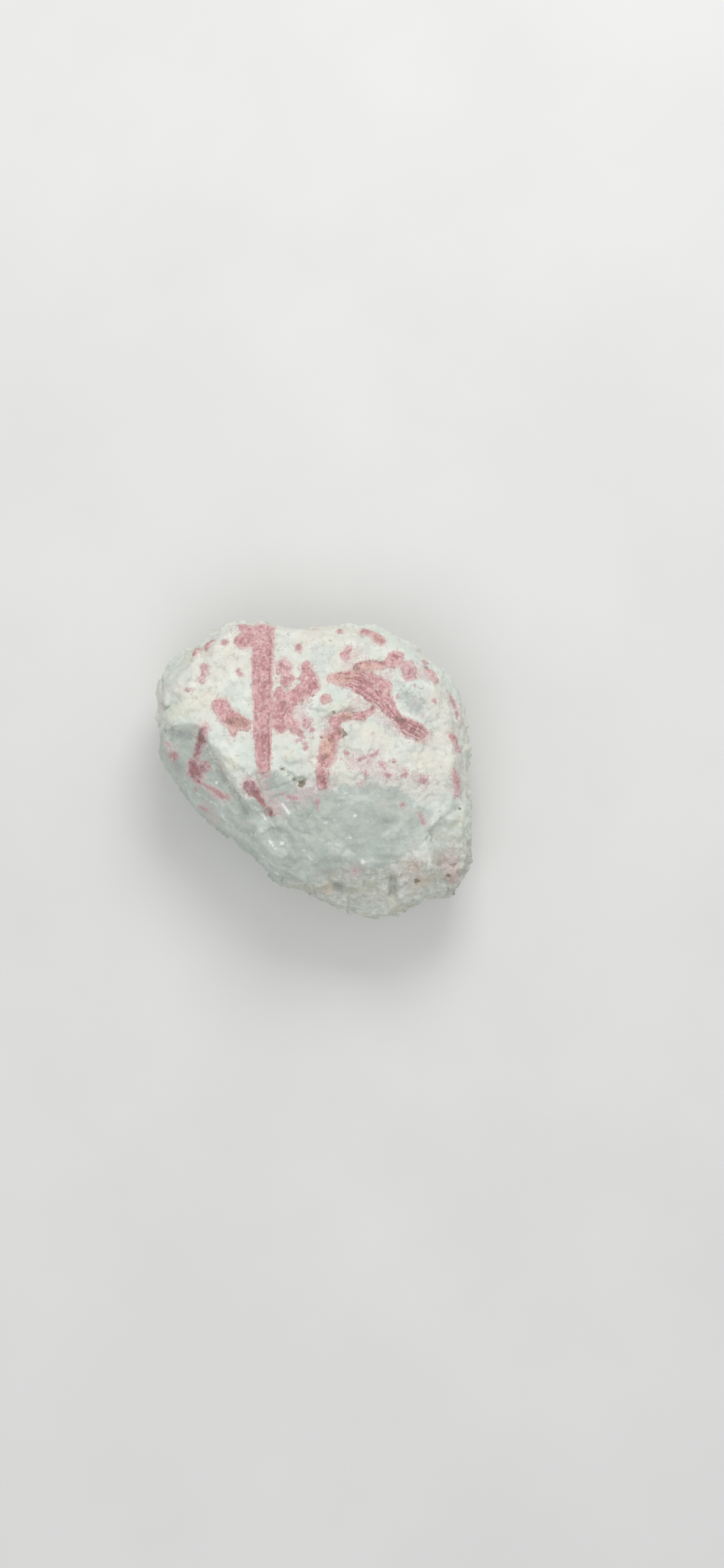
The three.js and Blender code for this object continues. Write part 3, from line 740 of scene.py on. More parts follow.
CLUSTERS = {
    "cluster_beside_long_crystal": (
        [[(-7.4, 24.9, 2.2), (-7, 24.6, 1.8)], [(-6.6, 22, 1.7), (-6.9, 21.4, 1.3)],
         [(-2, 24.8, 1.6), (-1.3, 22.2, 2), (-1, 20, 2.3), (-3.2, 18.5, 2), (-5.6, 17.2, 1.9)],
         [(-8.4, 18.6, 1.4), (-7.9, 16.8, 2.4), (-7.8, 14.3, 2.7), (-8.4, 10.9, 2.2)],
         [(-6.5, 12.2, 1.8), (-4.9, 10.6, 1.2), (-3.2, 8.8, 0.7)]], 0.30, PINK),
    "left_cluster": (
        [[(-22.5, 15.4, 2.1), (-20.9, 12.9, 2.2), (-18.6, 11.5, 2.1), (-16.6, 11.2, 1.7)],
         [(-19.7, 10.6, 1.7), (-19.3, 8.2, 0.8)]], 0.35, PINK),
    "centre_cluster": (
        [[(5.2, 9.2, 1.6), (3.5, 6.5, 2.3), (3.1, 3.8, 2.4), (2, 1.6, 1.8)],
         [(1.8, 1.5, 1.6), (1.9, -1.2, 1.2), (2.1, -3.3, 1.1)],
         [(5.3, 9.4, 1.2), (4.8, 12, 1.3), (8.2, 12.8, 1), (11.6, 13.1, 1.1), (13.8, 14.5, 0.8)]],
        0.30, PINK),
    "ledge_cluster": (
        [[(-15.5, -3.7, 1.9), (-14.4, -5.2, 1.4)], [(-13.7, -6.2, 0.9), (-12, -8.4, 0.6)],
         [(-11.2, -9.4, 1.1), (-10.6, -10.2, 1)]], 0.25, BROWN_AND_SHADE),
    "pale_round_crystal": ([[(22.7, 24.3, 2), (22.6, 23.3, 2)]], 0.35, PALE),
    "rim_crystal": ([[(27.4, 23.6, 0.8), (28.2, 22.6, 1.1), (29, 21.4, 0.9)]], 0.30, PINK),
    "top_right_pair": ([[(12.1, 34.4, 1.2), (13.8, 32.9, 1.1), (15.9, 31.1, 1.4)]], 0.30, PINK),
    "small_upper_crystal": ([[(8.3, 29.3, 0.7), (7.2, 27.5, 1.1)]], 0.30, PINK),
    "small_middle_crystal": ([[(-2.2, 11.4, 1.3)]], 0.25, PALE),
    "lump_crystal": ([[(2.5, 17, 1.2)]], 0.30, PINK),
    "upper_left_crystal": ([[(-26.4, 24.8, 1.3), (-27.1, 21.8, 0.7)]], 0.25, PALE),
    "left_rim_crystal": ([[(-29.6, 28.6, 0.8), (-28.2, 29.4, 1.2), (-25.4, 31.8, 0.8)]], 0.25, PINK),
}
CRYSTAL_CHAINS = [chain for entry in LONG_CRYSTALS.values() for chain in [entry["bar"], *entry["group"]]]
CRYSTAL_CHAINS += [chain for chains, _, _ in CLUSTERS.values() for chain in chains]
print("crystals:", len(LONG_CRYSTALS) + len(CLUSTERS), "with", len(CRYSTAL_CHAINS), "chains")

# %% [markdown]
# ## Spots that are only colour
#
# Around the crystals the rock is flecked with pink and brown, and it has patches of a warmer,
# greyer or smokier cast. Part of the smoky cast is painted shade, and the glints are painted
# highlights. None of these has a height of its own, so they are numbers on the stone's corners
# that its material reads. Each kind has single spots and paths, and a border that fades over a
# set width. The halo is the same for the crystals' own outlines.

# %% Pink, deep pink and brown flecks
def flecks(fade, spots, paths):
    """Spots and paths laid on the stone, with the width over which their border fades."""
    return laid([[spot] for spot in spots] + paths), fade


FLECKS = {
    "halo": flecks(2.0, [], CRYSTAL_CHAINS),
    "pink": flecks(1.5, [
        (-3.9, 29.4, 1.1), (5.9, 33.7, 0.8), (-21.7, 30.7, 0.8), (26.3, 26, 0.8),
        (12.8, 2.2, 0.4), (17.6, -1.2, 0.65), (21.4, -1.1, 0.9), (21, -8.1, 0.55),
        (24.1, 20.3, 0.6), (28.7, 16.6, 0.7), (25.9, 13.1, 0.5), (-28.7, -4.4, 0.55),
        (-34.3, 3.3, 1.2), (13.9, 8.6, 0.5), (-1.9, 5.4, 0.6), (-0.4, 7.8, 0.5), (0.4, 4.4, 0.4),
        (6.3, 2.6, 0.5), (-0.6, 1.8, 0.4), (-24.7, -12, 0.5), (19.9, 17.9, 0.4),
        (-16.1, -3.8, 0.9), (1, 0, 0.7), (-3.6, 22, 0.5), (3.2, 17, 0.9), (5, 10.8, 0.7),
        (-0.6, 9.6, 0.7), (8.6, 0.8, 0.4), (18.9, 2.2, 0.4), (12.2, -0.6, 0.4),
    ], [
        [(-31, 19.2, 0.35), (-29.2, 19.3, 0.35)], [(-18.2, 23.8, 0.6), (-17.6, 23, 0.7)],
        [(10.7, 2.3, 0.5), (13, 3.3, 0.4), (15, 4.6, 0.4)], [(15.9, 1.2, 0.8), (16.4, 0.6, 0.6)],
        [(25.2, -2, 0.5), (26.9, -3.3, 0.6)], [(11, -3.2, 0.5), (11.3, -4.2, 0.3)],
        [(0.6, -7.6, 0.7), (0.7, -9.6, 0.3)], [(25.2, -10.2, 0.35), (25.9, -12.6, 0.4)],
        [(-7.4, -5.8, 0.4), (-4, -6.9, 0.25)], [(-35.8, 6.9, 0.35), (-34.9, 5.7, 0.35)],
        [(-5.4, 9.6, 0.8), (-3, 7.8, 0.5)], [(7.2, 4.6, 0.5), (8, 3.4, 0.4)],
        [(-27.6, -9.1, 0.5), (-26.6, -10.2, 0.5)], [(32.6, 18.3, 0.3), (34.6, 12.4, 0.3)],
        [(9.6, -24, 0.4), (9.9, -25.4, 0.3)], [(2.9, -0.4, 0.9), (2.4, -2.6, 0.8)],
        [(-30.3, -0.9, 0.45), (-27.4, -3.2, 0.5), (-24.1, -4.9, 0.55), (-21.4, -6.7, 0.8)],
        [(-4.4, 7.4, 0.5), (-2, 6.2, 0.4)],
    ]),
    "deep": flecks(2.4, [
        (-28.4, 0, 1.6), (-1.2, 20.4, 1), (1.9, -2.8, 0.7), (19.4, 26.6, 0.8), (-15.8, 31, 0.8),
    ], [
        [(11, 18.2, 0.5), (13.8, 15.9, 0.6), (16.8, 13.2, 0.6), (19.4, 11, 0.7)],
        [(19.6, 12.2, 0.7), (22.4, 9.8, 0.9), (26, 7.6, 0.8)],
        [(-9.6, 35.4, 0.5), (-10.2, 27, 0.2)],
        [(-12, 21, 0.1), (-12.4, 17, 0.6), (-12.4, 8, 0.5), (-12.2, 3, 0.5)],
        [(-14.6, -4.6, 1.2), (-11, -9.4, 0.8)], [(-19.4, 12.2, 0.3), (-17.2, 11.2, 0.7)],
        [(-26.9, 7.8, 0.8), (-28.2, 4.4, 0.6)],
    ]),
    "brown": flecks(1.2, [
        (-3.3, -3.1, 1), (-13.6, -5.1, 0.4), (-12.8, -7, 0.3), (-34.2, 2.8, 0.5),
        (11.6, 12.8, 0.5), (-11.6, -8.8, 0.4), (-14.4, -5, 0.3), (4.4, 13.8, 0.5), (9.4, 14, 0.4),
        (13.4, 14.8, 0.4), (9.8, 24.4, 0.9), (16.3, 25.7, 0.6), (26.9, 24.9, 0.45),
        (34.9, -9.1, 0.4), (28.8, -14.9, 0.35), (24.7, -26.8, 0.8), (32.6, -25.8, 0.6),
        (19, -28.2, 0.5), (25.6, 19.7, 0.35), (4.2, 22, 0.5), (-29.6, -1.2, 0.35),
        (-28.1, -2.6, 0.3), (-16.6, 10.8, 0.7), (-27.8, 7.6, 0.6), (-21, 13.6, 0.3),
        (-8.2, 16, 0.4), (-33.9, 11.2, 0.2), (4, 7.4, 0.7), (1.6, 7.6, 0.2), (4.8, 4.8, 0.25),
        (1.2, 4.6, 0.2), (3.4, 0.8, 0.3), (-7.6, 16.4, 0.6), (-6.2, 13.4, 0.3), (-8.8, 13, 0.25),
        (-12.2, 6, 0.3), (-15.2, -5.4, 0.5),
    ], [
        [(-8.2, 0.9, 0.05), (-6, -1.2, 0.2), (-4.2, -2.6, 0.5)],
        [(-11.2, -9.8, 0.5), (-10.4, -10.4, 0.5)], [(5.6, 9.4, 1.1), (7, 8.8, 0.7)],
        [(6.2, 12.4, 0.8), (8.2, 12.8, 0.6)], [(13, 26.3, 0.3), (15.4, 26.3, 0.3)],
        [(-20.4, 11.6, 0.7), (-17.4, 12, 0.9)], [(19.8, 12.4, 0.7), (21.4, 11.6, 0.6)],
        [(28.6, -22.3, 0.1), (33.4, -22.9, 0.15), (36, -22, 0.1)],
        [(-2.4, 18.9, 0.6), (-0.8, 18.3, 0.6)], [(2.6, 3.6, 0.7), (1.9, 1.6, 0.5)],
    ]),
}
print("flecks:", {name: len(chains) for name, (chains, _) in FLECKS.items()})

# %% Blush and peach round the crystals
FLECKS["blush"] = flecks(4.0, [
    (9.5, -24.5, 2.2), (23.9, -22.9, 2), (-28, -1, 2.6), (26, 24, 3), (-34.6, 4.4, 2),
    (12, -3.5, 1.4), (-26, 32, 1.6), (-37, 16, 1.4), (0, 35, 1.4), (17.6, 22.8, 2.2),
    (24, 16.4, 0.8),
], [
    [(-7, 20.6, 2.6), (-4, 14, 2.8), (-1, 10, 1.6)], [(-14, -4, 3), (-9, -9, 2.4)],
    [(-3, -6, 3), (2, -3.5, 2.4)], [(32, -21, 3), (34, -26, 2.4)], [(4, 10, 3), (2.5, 0, 2.6)],
    [(3, 11, 2), (8, 13.4, 2.2), (14, 14.4, 1.8)], [(9, 17.5, 1.6), (20, 10, 1.6)],
    [(34, 7, 1.4), (34, -5, 1.6)], [(32.4, 18, 1.6), (35, 12, 1.6)],
    [(-27, -9.5, 1.6), (-24, -12.5, 1.6)], [(8, 25.5, 2.2), (10, 28, 1.8)],
    [(15, 1.5, 2), (27, -3, 1.6)], [(8, 2.6, 2), (13, 1.4, 3.4), (18, -1.4, 2)],
    [(-28, -2.6, 1.6), (-22, -6.6, 1.6)],
])
FLECKS["peach"] = flecks(2.4, [
    (8, 13, 1.4), (21.4, -1.1, 1.2), (-27.1, 21.6, 1), (2.6, 16.6, 1.2), (14.6, 31.6, 1.2),
    (-3.9, 29.4, 1.2), (9.4, 27.4, 1), (26, -27, 2.4), (23.9, -22.9, 1.6), (3.5, -28.5, 1.8),
    (24.2, 19.9, 0.8), (28.7, 16.6, 1), (25.5, 7.6, 1.4),
], [
    [(5, 22, 1.6), (9, 22.3, 1.6)], [(12, 25, 1.4), (15.5, 24.4, 1.2)],
    [(-19.6, 10.4, 1.6), (-17.4, 11.6, 1.6)], [(2.8, 6, 2.4), (3.2, 4, 1.6)],
])
print("blush:", len(FLECKS["blush"][0]), "peach:", len(FLECKS["peach"][0]))

# %% Grey and cream patches of the feldspar
FLECKS["grey"] = flecks(3.0, [
    (-7.8, 20, 1.2), (12.7, 29.4, 1.8), (9.4, 8.5, 2), (-31, 23.5, 2.6), (25.6, 18.4, 2.4),
    (19.5, 20.5, 1.6), (27, 10.4, 1.6), (26.6, 22.4, 1.6), (-2, -34, 2), (31, -10.6, 0.8),
    (-20, 20, 1.6), (33, 11, 1.6),
], [
    [(1, 24, 2), (1.6, 29, 2.4)],
])
FLECKS["cream"] = flecks(4.0, [
    (-6, 3.6, 2.2), (13, 10, 1.6), (26, 2, 2.6), (-20, 1.5, 2.2), (-21, 28.5, 1.8),
    (4.6, -0.8, 1.4), (-17.5, 24.5, 1.4), (20, 30.5, 1.6), (3, 31.5, 2), (32, 16, 1.4),
    (28, -0.6, 1),
], [
    [(-33, 14, 2.6), (-26, 17, 2.4)], [(2.5, 14.6, 1.6), (9, 16, 2)],
    [(30.8, -14.2, 1), (33.4, -12.6, 1.8), (36, -11.4, 2.2)],
    [(36.4, 16, 1.6), (37.4, 6, 1.8), (36.6, -5, 1.6)],
])
print("grey:", len(FLECKS["grey"][0]), "cream:", len(FLECKS["cream"][0]))

# %% Smoky patches and painted shade, clouds and painted glints
# Smoky patches are partly the quartz's own darker tone and partly painted shade: under the left block's
# lower edge, along the fold on the left and in the low left corner.
FLECKS["smoky_and_painted_shade"] = flecks(3.6, [
    (-34, 0.8, 2.4), (-10.6, -3.2, 2.2), (17.8, 10.4, 1.4), (19, -28.2, 0.8), (6, -28.6, 1.6),
    (3, -24, 1.4),
], [
    [(-36, 9.4, 1.4), (-30, 8.6, 1.6)], [(21.6, 17.8, 1.8), (25, 15.2, 2)],
    [(-26.2, 7.2, 0.5), (-22.6, -0.4, 0.7), (-18.8, -5.4, 0.7), (-16.6, -9.6, 0.2)],
    [(-9.6, -14.4, 1.2), (-5, -16.6, 0.8)], [(10, -10, 0.8), (17, -12, 0.8)],
])
FLECKS["cloud"] = flecks(4.0, [
    (-4.6, -11.4, 1.2), (14, -22, 1.6), (-1, -21, 1.6), (1, -31, 1.2), (14.6, -1.6, 1.6),
    (-30, -3.4, 1.6), (-8, -19, 1.2),
], [
    [(-23, -8.5, 1.6), (-21, -12.5, 2)], [(-14, -11, 1.6), (-12.5, -14.5, 1.2)],
    [(-14, -18, 1.2), (-11, -23.5, 1.2)], [(8, -6.5, 1.8), (14, -6, 1.2)],
    [(24, -7, 1.6), (28, -10, 1.4)], [(4, -17, 1.2), (8, -20, 1.6)],
    [(21.6, -26.6, 1), (21.2, -31, 1.3)], [(22, -17, 1.6), (26, -14, 1.4)],
    [(28, -28.6, 1.2), (24.6, -30.4, 1.2)], [(11, -33.4, 1.6), (17, -33.4, 1.6)],
    [(-30, -5, 1.2), (-22, -11.5, 1.2), (-15, -17.5, 1.2), (-8, -23.5, 2), (-3, -26, 2)],
    [(16, -16, 0.4), (21, -13, 0.4)],
])
# Painted glints: near-white points and short strokes that stand in for highlights on the quartz.
FLECKS["painted_glint"] = flecks(0.9, [
    (-4, -11.4, 0.35), (4.6, -11.9, 0.4), (9.6, -10.8, 0.4), (-7.8, -17.5, 0.5),
    (-12.5, -20.6, 0.4), (-2.6, -19.2, 0.35), (8.4, -16, 0.5), (11.6, -22, 0.6), (7.9, 20, 0.4),
    (2.8, -12.6, 0.3), (3.6, -11.2, 0.2), (5.2, -13, 0.2), (-24.4, -9.6, 0.25), (-23.6, -3, 0.4),
], [
    [(-25.2, -7.4, 0.15), (-23.2, -8.8, 0.2)], [(-22.4, -10.6, 0.25), (-21.2, -12.2, 0.3)],
    [(-14.2, -8.8, 0.2), (-11.9, -11.4, 0.4)], [(-7.7, -7.9, 0.2), (-5.9, -10.9, 0.25)],
    [(-1.6, -20.6, 0.2), (-0.6, -21.6, 0.35)], [(-11.2, -22.6, 0.2), (-9.2, -25.2, 0.35)],
    [(-15.6, -14.8, 0.25), (-14.2, -17, 0.2)], [(6.4, -5.6, 0.3), (9, -5, 0.2)],
    [(-11, -16.4, 0.2), (-9.6, -18.8, 0.25)], [(-28.2, -5.4, 0.15), (-26, -6.8, 0.25)],
])


def fleck_values(points, names):
    """A fleck's value is a half at its edge, and reaches 1 inside and 0 outside over the width of
    its border."""
    inside = {name: inside_chains(points, FLECKS[name][0]) for name in names}
    return {name: np.clip(0.5 + deep / FLECKS[name][1], 0, 1) for name, deep in inside.items()}


print("kinds of fleck:", ", ".join(FLECKS))

# %% [markdown]
# ## From arrays to a mesh
#
# foreach_set copies a whole array into the mesh at once. The values on the corners go in as named
# attributes, which a material reads by name.

# %% Mesh maker
def mesh_object(name, points, cells, values, material):
    """A mesh object in metres from points in millimetres, four-cornered cells and the named
    values on its corners. Faces are smooth, because the relief is in the corners."""
    mesh = bpy.data.meshes.new(name)
    mesh.vertices.add(len(points))
    mesh.vertices.foreach_set("co", (points * MM).astype(np.float32).ravel())
    mesh.loops.add(cells.size)
    mesh.loops.foreach_set("vertex_index", cells.astype(np.int32).ravel())
    mesh.polygons.add(len(cells))
    mesh.polygons.foreach_set("loop_start", np.arange(0, cells.size, 4, dtype=np.int32))
    mesh.polygons.foreach_set("material_index", np.zeros(len(cells), dtype=np.int32))
    mesh.update(calc_edges=True)
    mesh.shade_smooth()
    for key, numbers in values.items():
        layer = mesh.attributes.new(key, "FLOAT", "POINT")
        layer.data.foreach_set("value", numbers.astype(np.float32))
    mesh.materials.append(material)
    mesh.validate()
    print(name, len(mesh.polygons), "faces")
    return in_scene(name, mesh)


# %% [markdown]
# ## Making finishes
#
# A finish is a chain of shader nodes. Writing them out one by one hides the idea, so this small
# maker adds a node per call and hands back its output. Sizes are in millimetres, measured on
# Object coordinates, so a pattern has the same scale on every piece. Colours are given as they
# look on a screen, from 0 to 255, and turned to the linear values that shaders use.

# %% Finish maker
MIX_A, MIX_B, MIX_RESULT = 6, 7, 2
WAVER = 0.4
RAG_SHARES = (0.8, 1.6, 1.2)


def linear(red, green, blue):
    """Screen colour to linear light: the usual sRGB curve."""
    parts = [v / 255 for v in (red, green, blue)]
    return (*[p / 12.92 if p <= 0.04045 else ((p + 0.055) / 1.055) ** 2.4 for p in parts], 1.0)


class Finish:
    """Adds the nodes of one material. Each method returns the output socket of its node."""

    def __init__(self, name):
        self.material = bpy.data.materials.new(name)
        self.material.use_nodes = True
        self.tree = self.material.node_tree
        self.shader = self.tree.nodes["Principled BSDF"]
        self.place = self.add("ShaderNodeTexCoord").outputs["Object"]

    def add(self, kind, **settings):
        node = self.tree.nodes.new(kind)
        for key, value in settings.items():
            setattr(node, key, value)
        return node

    def put(self, socket, value):
        if isinstance(value, bpy.types.NodeSocket):
            self.tree.links.new(value, socket)
        else:
            socket.default_value = value

    def pattern(self, kind, size, place, **settings):
        """A texture node whose features are about that many millimetres across."""
        node = self.add(kind, **settings)
        self.put(node.inputs["Vector"], place)
        node.inputs["Scale"].default_value = 1 / (size * MM)
        return node

    def noise(self, size, detail=3.0, roughness=0.55, output="Fac"):
        node = self.pattern("ShaderNodeTexNoise", size, self.place)
        node.inputs["Detail"].default_value = detail
        node.inputs["Roughness"].default_value = roughness
        return node.outputs[output]

    def cells(self, size, output="Distance", feature="F1"):
        """Cells whose straight edges are bent, because noise moves the place they are read at by
        up to a share of their size."""
        moved = self.add("ShaderNodeVectorMath", operation="MULTIPLY_ADD")
        self.put(moved.inputs[0], self.noise(size, 2.0, 0.5, "Color"))
        moved.inputs[1].default_value = (2 * WAVER * size * MM,) * 3
        self.put(moved.inputs[2], self.place)
        node = self.pattern("ShaderNodeTexVoronoi", size, moved.outputs["Vector"], feature=feature)
        return node.outputs[output]

    def math(self, operation, first, second):
        node = self.add("ShaderNodeMath", operation=operation)
        self.put(node.inputs[0], first)
        self.put(node.inputs[1], second)
        return node.outputs[0]

    def step(self, value, low, high, to_low=0.0, to_high=1.0):
        node = self.add("ShaderNodeMapRange", interpolation_type="SMOOTHSTEP")
        numbers = {"Value": value, "From Min": low, "From Max": high, "To Min": to_low, "To Max": to_high}
        for name, number in numbers.items():
            self.put(node.inputs[name], number)
        return node.outputs["Result"]

    def ragged(self, patchy, fine, grain):
        """Keeps noise of three sizes round zero, which makes the edges of marks uneven."""
        parts = [self.math("MULTIPLY", self.math("SUBTRACT", noise, 0.5), share)
                 for noise, share in zip((patchy, fine, grain), RAG_SHARES)]
        self.rag = self.math("ADD", self.math("ADD", parts[0], parts[1]), parts[2])

    def mark(self, name, low, high, share, outside=0.0):
        """How much of a mark's colour shows: its ragged value, stepped to a share."""
        value = self.add("ShaderNodeAttribute", attribute_name=name).outputs["Fac"]
        return self.step(self.math("ADD", value, self.rag), low, high, outside, share)

    def blend(self, amount, first, second):
        node = self.add("ShaderNodeMix", data_type="RGBA", blend_type="MIX")
        self.put(node.inputs["Factor"], amount)
        self.put(node.inputs[MIX_A], first)
        self.put(node.inputs[MIX_B], second)
        return node.outputs[MIX_RESULT]

    def layers(self, colour, covers):
        """Blends one screen colour after another over the first, each by its own amount."""
        for amount, tone in covers:
            colour = self.blend(amount, colour, linear(*tone))
        return colour

    def bump(self, height, depth, under=None):
        node = self.add("ShaderNodeBump")
        node.inputs["Strength"].default_value = 1.0
        node.inputs["Distance"].default_value = depth * MM
        self.put(node.inputs["Height"], height)
        if under is not None:
            self.put(node.inputs["Normal"], under)
        return node.outputs["Normal"]

    def finish(self, colour, roughness, normal):
        self.put(self.shader.inputs["Base Color"], colour)
        self.put(self.shader.inputs["Roughness"], roughness)
        self.put(self.shader.inputs["Normal"], normal)
        return self.material


print("white in linear light:", linear(255, 255, 255))

# %% [markdown]
# ## The stone's finish
#
# Feldspar is chalky white, with a warm and a cool cast in patches and greyer grains. Quartz is
# grey-green: darker because light goes in and is lost, and cloudy where it is cracked inside. In
# Blender light could go in too, but that is slow and hard to steer, so here the depth is only in
# the colour. The lowest edge is weathered to greenish and beige crumbs. Over these go smoky
# patches that are partly painted shade, clouds, a web of thin lines, the blush and specks round
# the crystals, the flecks, and painted glints that stand in for highlights.

# %% The three rocks
def feldspar_colour(f, broad, patchy, fine):
    """Chalky white, cooler and warmer in patches, with greyer grains."""
    return f.layers(linear(217, 224, 214), [
        (f.step(broad, 0.38, 0.62), (227, 223, 211)),
        (f.step(patchy, 0.42, 0.66, 0.0, 0.7), (238, 239, 229)),
        (f.step(fine, 0.50, 0.70, 0.0, 0.6), (204, 209, 198)),
    ])


def quartz_colour(f, broad, patchy, fine):
    """Grey-green, clearer and darker in some places, with paler grains."""
    return f.layers(linear(178, 187, 178), [
        (f.step(patchy, 0.36, 0.66), (200, 205, 195)),
        (f.step(broad, 0.42, 0.64, 0.0, 0.6), (184, 197, 187)),
        (f.step(fine, 0.54, 0.74, 0.0, 0.6), (224, 229, 220)),
    ])


def weathered_colour(f, broad, patchy, fine):
    """Grey-green and beige crumbs, with an olive and a pink cast in patches."""
    return f.layers(linear(182, 186, 174), [
        (f.step(fine, 0.38, 0.62), (222, 224, 212)),
        (f.step(patchy, 0.48, 0.66, 0.0, 0.5), (190, 184, 160)),
        (f.step(broad, 0.54, 0.70, 0.0, 0.3), (212, 198, 196)),
    ])


# %% Stone finish
WEB_SIZE, WEB_LINE = 5.5, 0.03
GLASS_ROUGHNESS, CHALK_ROUGHNESS, ROUGHNESS_GRAIN = 0.20, 0.52, 0.2


def stone_finish():
    """The three rocks by zone, and the marks over them from the widest to the smallest."""
    f = Finish("quartz and feldspar")
    broad = f.noise(14.0)
    patchy = f.noise(4.5, 4.0, 0.6)
    fine = f.noise(1.5, 4.0, 0.65)
    grain = f.noise(0.5, 3.0, 0.6)
    f.ragged(patchy, fine, grain)
    glass = f.mark("glass", 0.2, 0.85, 1.0)

    colour = f.layers(feldspar_colour(f, broad, patchy, fine), [
        (f.mark("cream", 0.3, 1.0, 0.5), (230, 228, 206)),
        (f.mark("grey", 0.3, 0.9, 0.4), (192, 200, 194)),
    ])
    colour = f.blend(glass, colour, quartz_colour(f, broad, patchy, fine))
    weathered = f.mark("mottled", 0.25, 0.95, 0.85)
    colour = f.blend(weathered, colour, weathered_colour(f, broad, patchy, fine))

    web = f.step(f.cells(WEB_SIZE, feature="DISTANCE_TO_EDGE"), 0.0, WEB_LINE, 1.0, 0.0)
    web = f.math("MULTIPLY", web, f.step(broad, 0.50, 0.60, 0.0, 0.25))
    near = f.math("MAXIMUM", f.mark("blush", 0.35, 0.8, 0.6), f.mark("halo", 0.2, 0.6, 0.9))
    specks = f.math("MULTIPLY", f.step(grain, 0.52, 0.62), near)
    colour = f.layers(colour, [
        # Smoky patches: a darker tone, partly painted shade.
        (f.mark("smoky_and_painted_shade", 0.2, 1.0, 0.65), (164, 169, 165)),
        (f.mark("cloud", 0.3, 1.1, 0.6), (222, 229, 223)),
        (web, (172, 172, 160)),
        (f.mark("blush", 0.3, 1.1, 0.6), (212, 190, 188)),
        (f.math("MULTIPLY", specks, 0.6), (192, 146, 144)),
        (f.mark("halo", 0.28, 0.75, 0.6), (216, 182, 178)),
        (f.mark("peach", 0.35, 1.0, 0.4), (214, 190, 168)),
        (f.mark("pink", 0.26, 0.72, 0.75), (206, 164, 164)),
        (f.mark("pink", 0.58, 1.0, 0.6), (176, 130, 133)),
        (f.mark("brown", 0.42, 0.75, 0.8), (128, 108, 90)),
        # Painted highlights: the glints on the quartz.
        (f.mark("painted_glint", 0.42, 0.80, 0.75), (247, 250, 247)),
    ])
    shine = f.step(glass, 0.0, 1.0, CHALK_ROUGHNESS, GLASS_ROUGHNESS)
    roughness = f.math("ADD", shine, f.math("MULTIPLY", fine, ROUGHNESS_GRAIN))
    return f.finish(colour, roughness, f.bump(f.noise(2.2, 8.0, 0.72), 0.42))


# %% The stone in its place
stone_zones = zones(stone_points)
stone_values = fleck_values(stone_points, [name for name in FLECKS if name != "deep"])
stone_values.update({name: stone_zones[name] for name in ("glass", "mottled")})
quartz_stone = mesh_object("broken_quartz", stone_points, stone_cells, stone_values, stone_finish())
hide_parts("quartz_stone")
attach(quartz_stone, "root")

# %% [markdown]
# ## Crystals
#
# The tourmalines were broken through with the rock, so they lie nearly flush in it. Each one is a
# closed sheet of its own: its top follows the stone's face and stands a little proud inside the
# crystal's edge, and outside that edge it dips under the stone, which trims it to an uneven line.
# That is easier than cutting holes, and shows the same.
#
# Two ways of laying the grid suit the two kinds. A long crystal has one side of the grid along
# its length, so that its lengthwise grooves follow it. A cluster of stubby ones, seen end on, has
# a plain square grid, with a small tilted top for each stub.

# %% The stone's face under a crystal
TABLE_ROUNDS = 8


def evened(table):
    """Each entry becomes the mean of itself and its four neighbours, several times over."""
    for _ in range(TABLE_ROUNDS):
        wide = np.pad(table, ((1, 1), (1, 1), (0, 0)), mode="edge")
        table = (wide[:-2, 1:-1] + wide[2:, 1:-1] + wide[1:-1, :-2] + wide[1:-1, 2:] + table) / 5
    return table


def outward_normals(table, directions):
    """Normals of a table of points, from the differences along its two sides. Where the table
    folds, one would point into the stone, so it is turned round. Then they are evened out."""
    crossed = np.cross(np.gradient(table, axis=0), np.gradient(table, axis=1))
    inward = (crossed * directions).sum(axis=-1, keepdims=True) < 0
    return unit(evened(np.where(inward, -crossed, crossed)))


def finished_face(directions):
    """The stone's finished surface for a table of directions, and its normals."""
    table = bare_face(directions.reshape(-1, 3)).reshape(directions.shape)
    for relief in (coarse_relief, fine_relief):
        amount = relief(table.reshape(-1, 3)).reshape(table.shape[:2])
        table = table + outward_normals(table, directions) * amount[..., None]
    return table, outward_normals(table, directions)


# %% Sheets
EDGE_SINK = 0.9
EDGE_TOP = 0.35
SHEET_DEPTH = 2.5
EDGE_WIDTH = 1.2


def raised_sheet(face, inside, foot, rise, relief, painted_groove_shade):
    """Top and bottom tables of a crystal and the values on them. The height climbs from under
    the stone to the crystal's rise by an s-curve of how far inside the edge a point lies, and the
    relief grows with it. The bottom lies at one depth."""
    top, normals = face
    height = -EDGE_SINK + (rise + EDGE_SINK + relief) * smooth_step(inside, foot, EDGE_TOP)
    values = {"depth": np.clip(inside / EDGE_WIDTH, 0, 1), "painted_groove_shade": painted_groove_shade}
    return top + normals * height[..., None], top - normals * SHEET_DEPTH, values


def closed_sheet(top, bottom):
    """A solid between two tables of points of the same size: top cells, bottom cells turned
    over, and a wall along each of the four sides. Returns its points and cells."""
    rows, columns = top.shape[:2]
    number = np.arange(rows * columns).reshape(rows, columns)
    under = number + rows * columns

    def wall(upper, lower):
        return np.stack([upper[:-1], lower[:-1], lower[1:], upper[1:]], axis=-1)

    walls = [
        wall(number[:, 0], under[:, 0])[:, ::-1],
        wall(number[:, -1], under[:, -1]),
        wall(number[0], under[0]),
        wall(number[-1], under[-1])[:, ::-1],
    ]
    cells = np.concatenate([quads(number), quads(under)[:, ::-1], *walls])
    return np.concatenate([top.reshape(-1, 3), bottom.reshape(-1, 3)]), cells


# %% The grid of a long crystal
LONG_STEP = 0.30
SIDE_STEP = 0.24
MARGIN = 0.9
LEAST_TURN = 0.009
LEAST_ROWS, LEAST_COLUMNS = 4, 12
LINE_ROUNDS, AIM_ROUNDS, SIDE_ROUNDS = 12, 6, 12


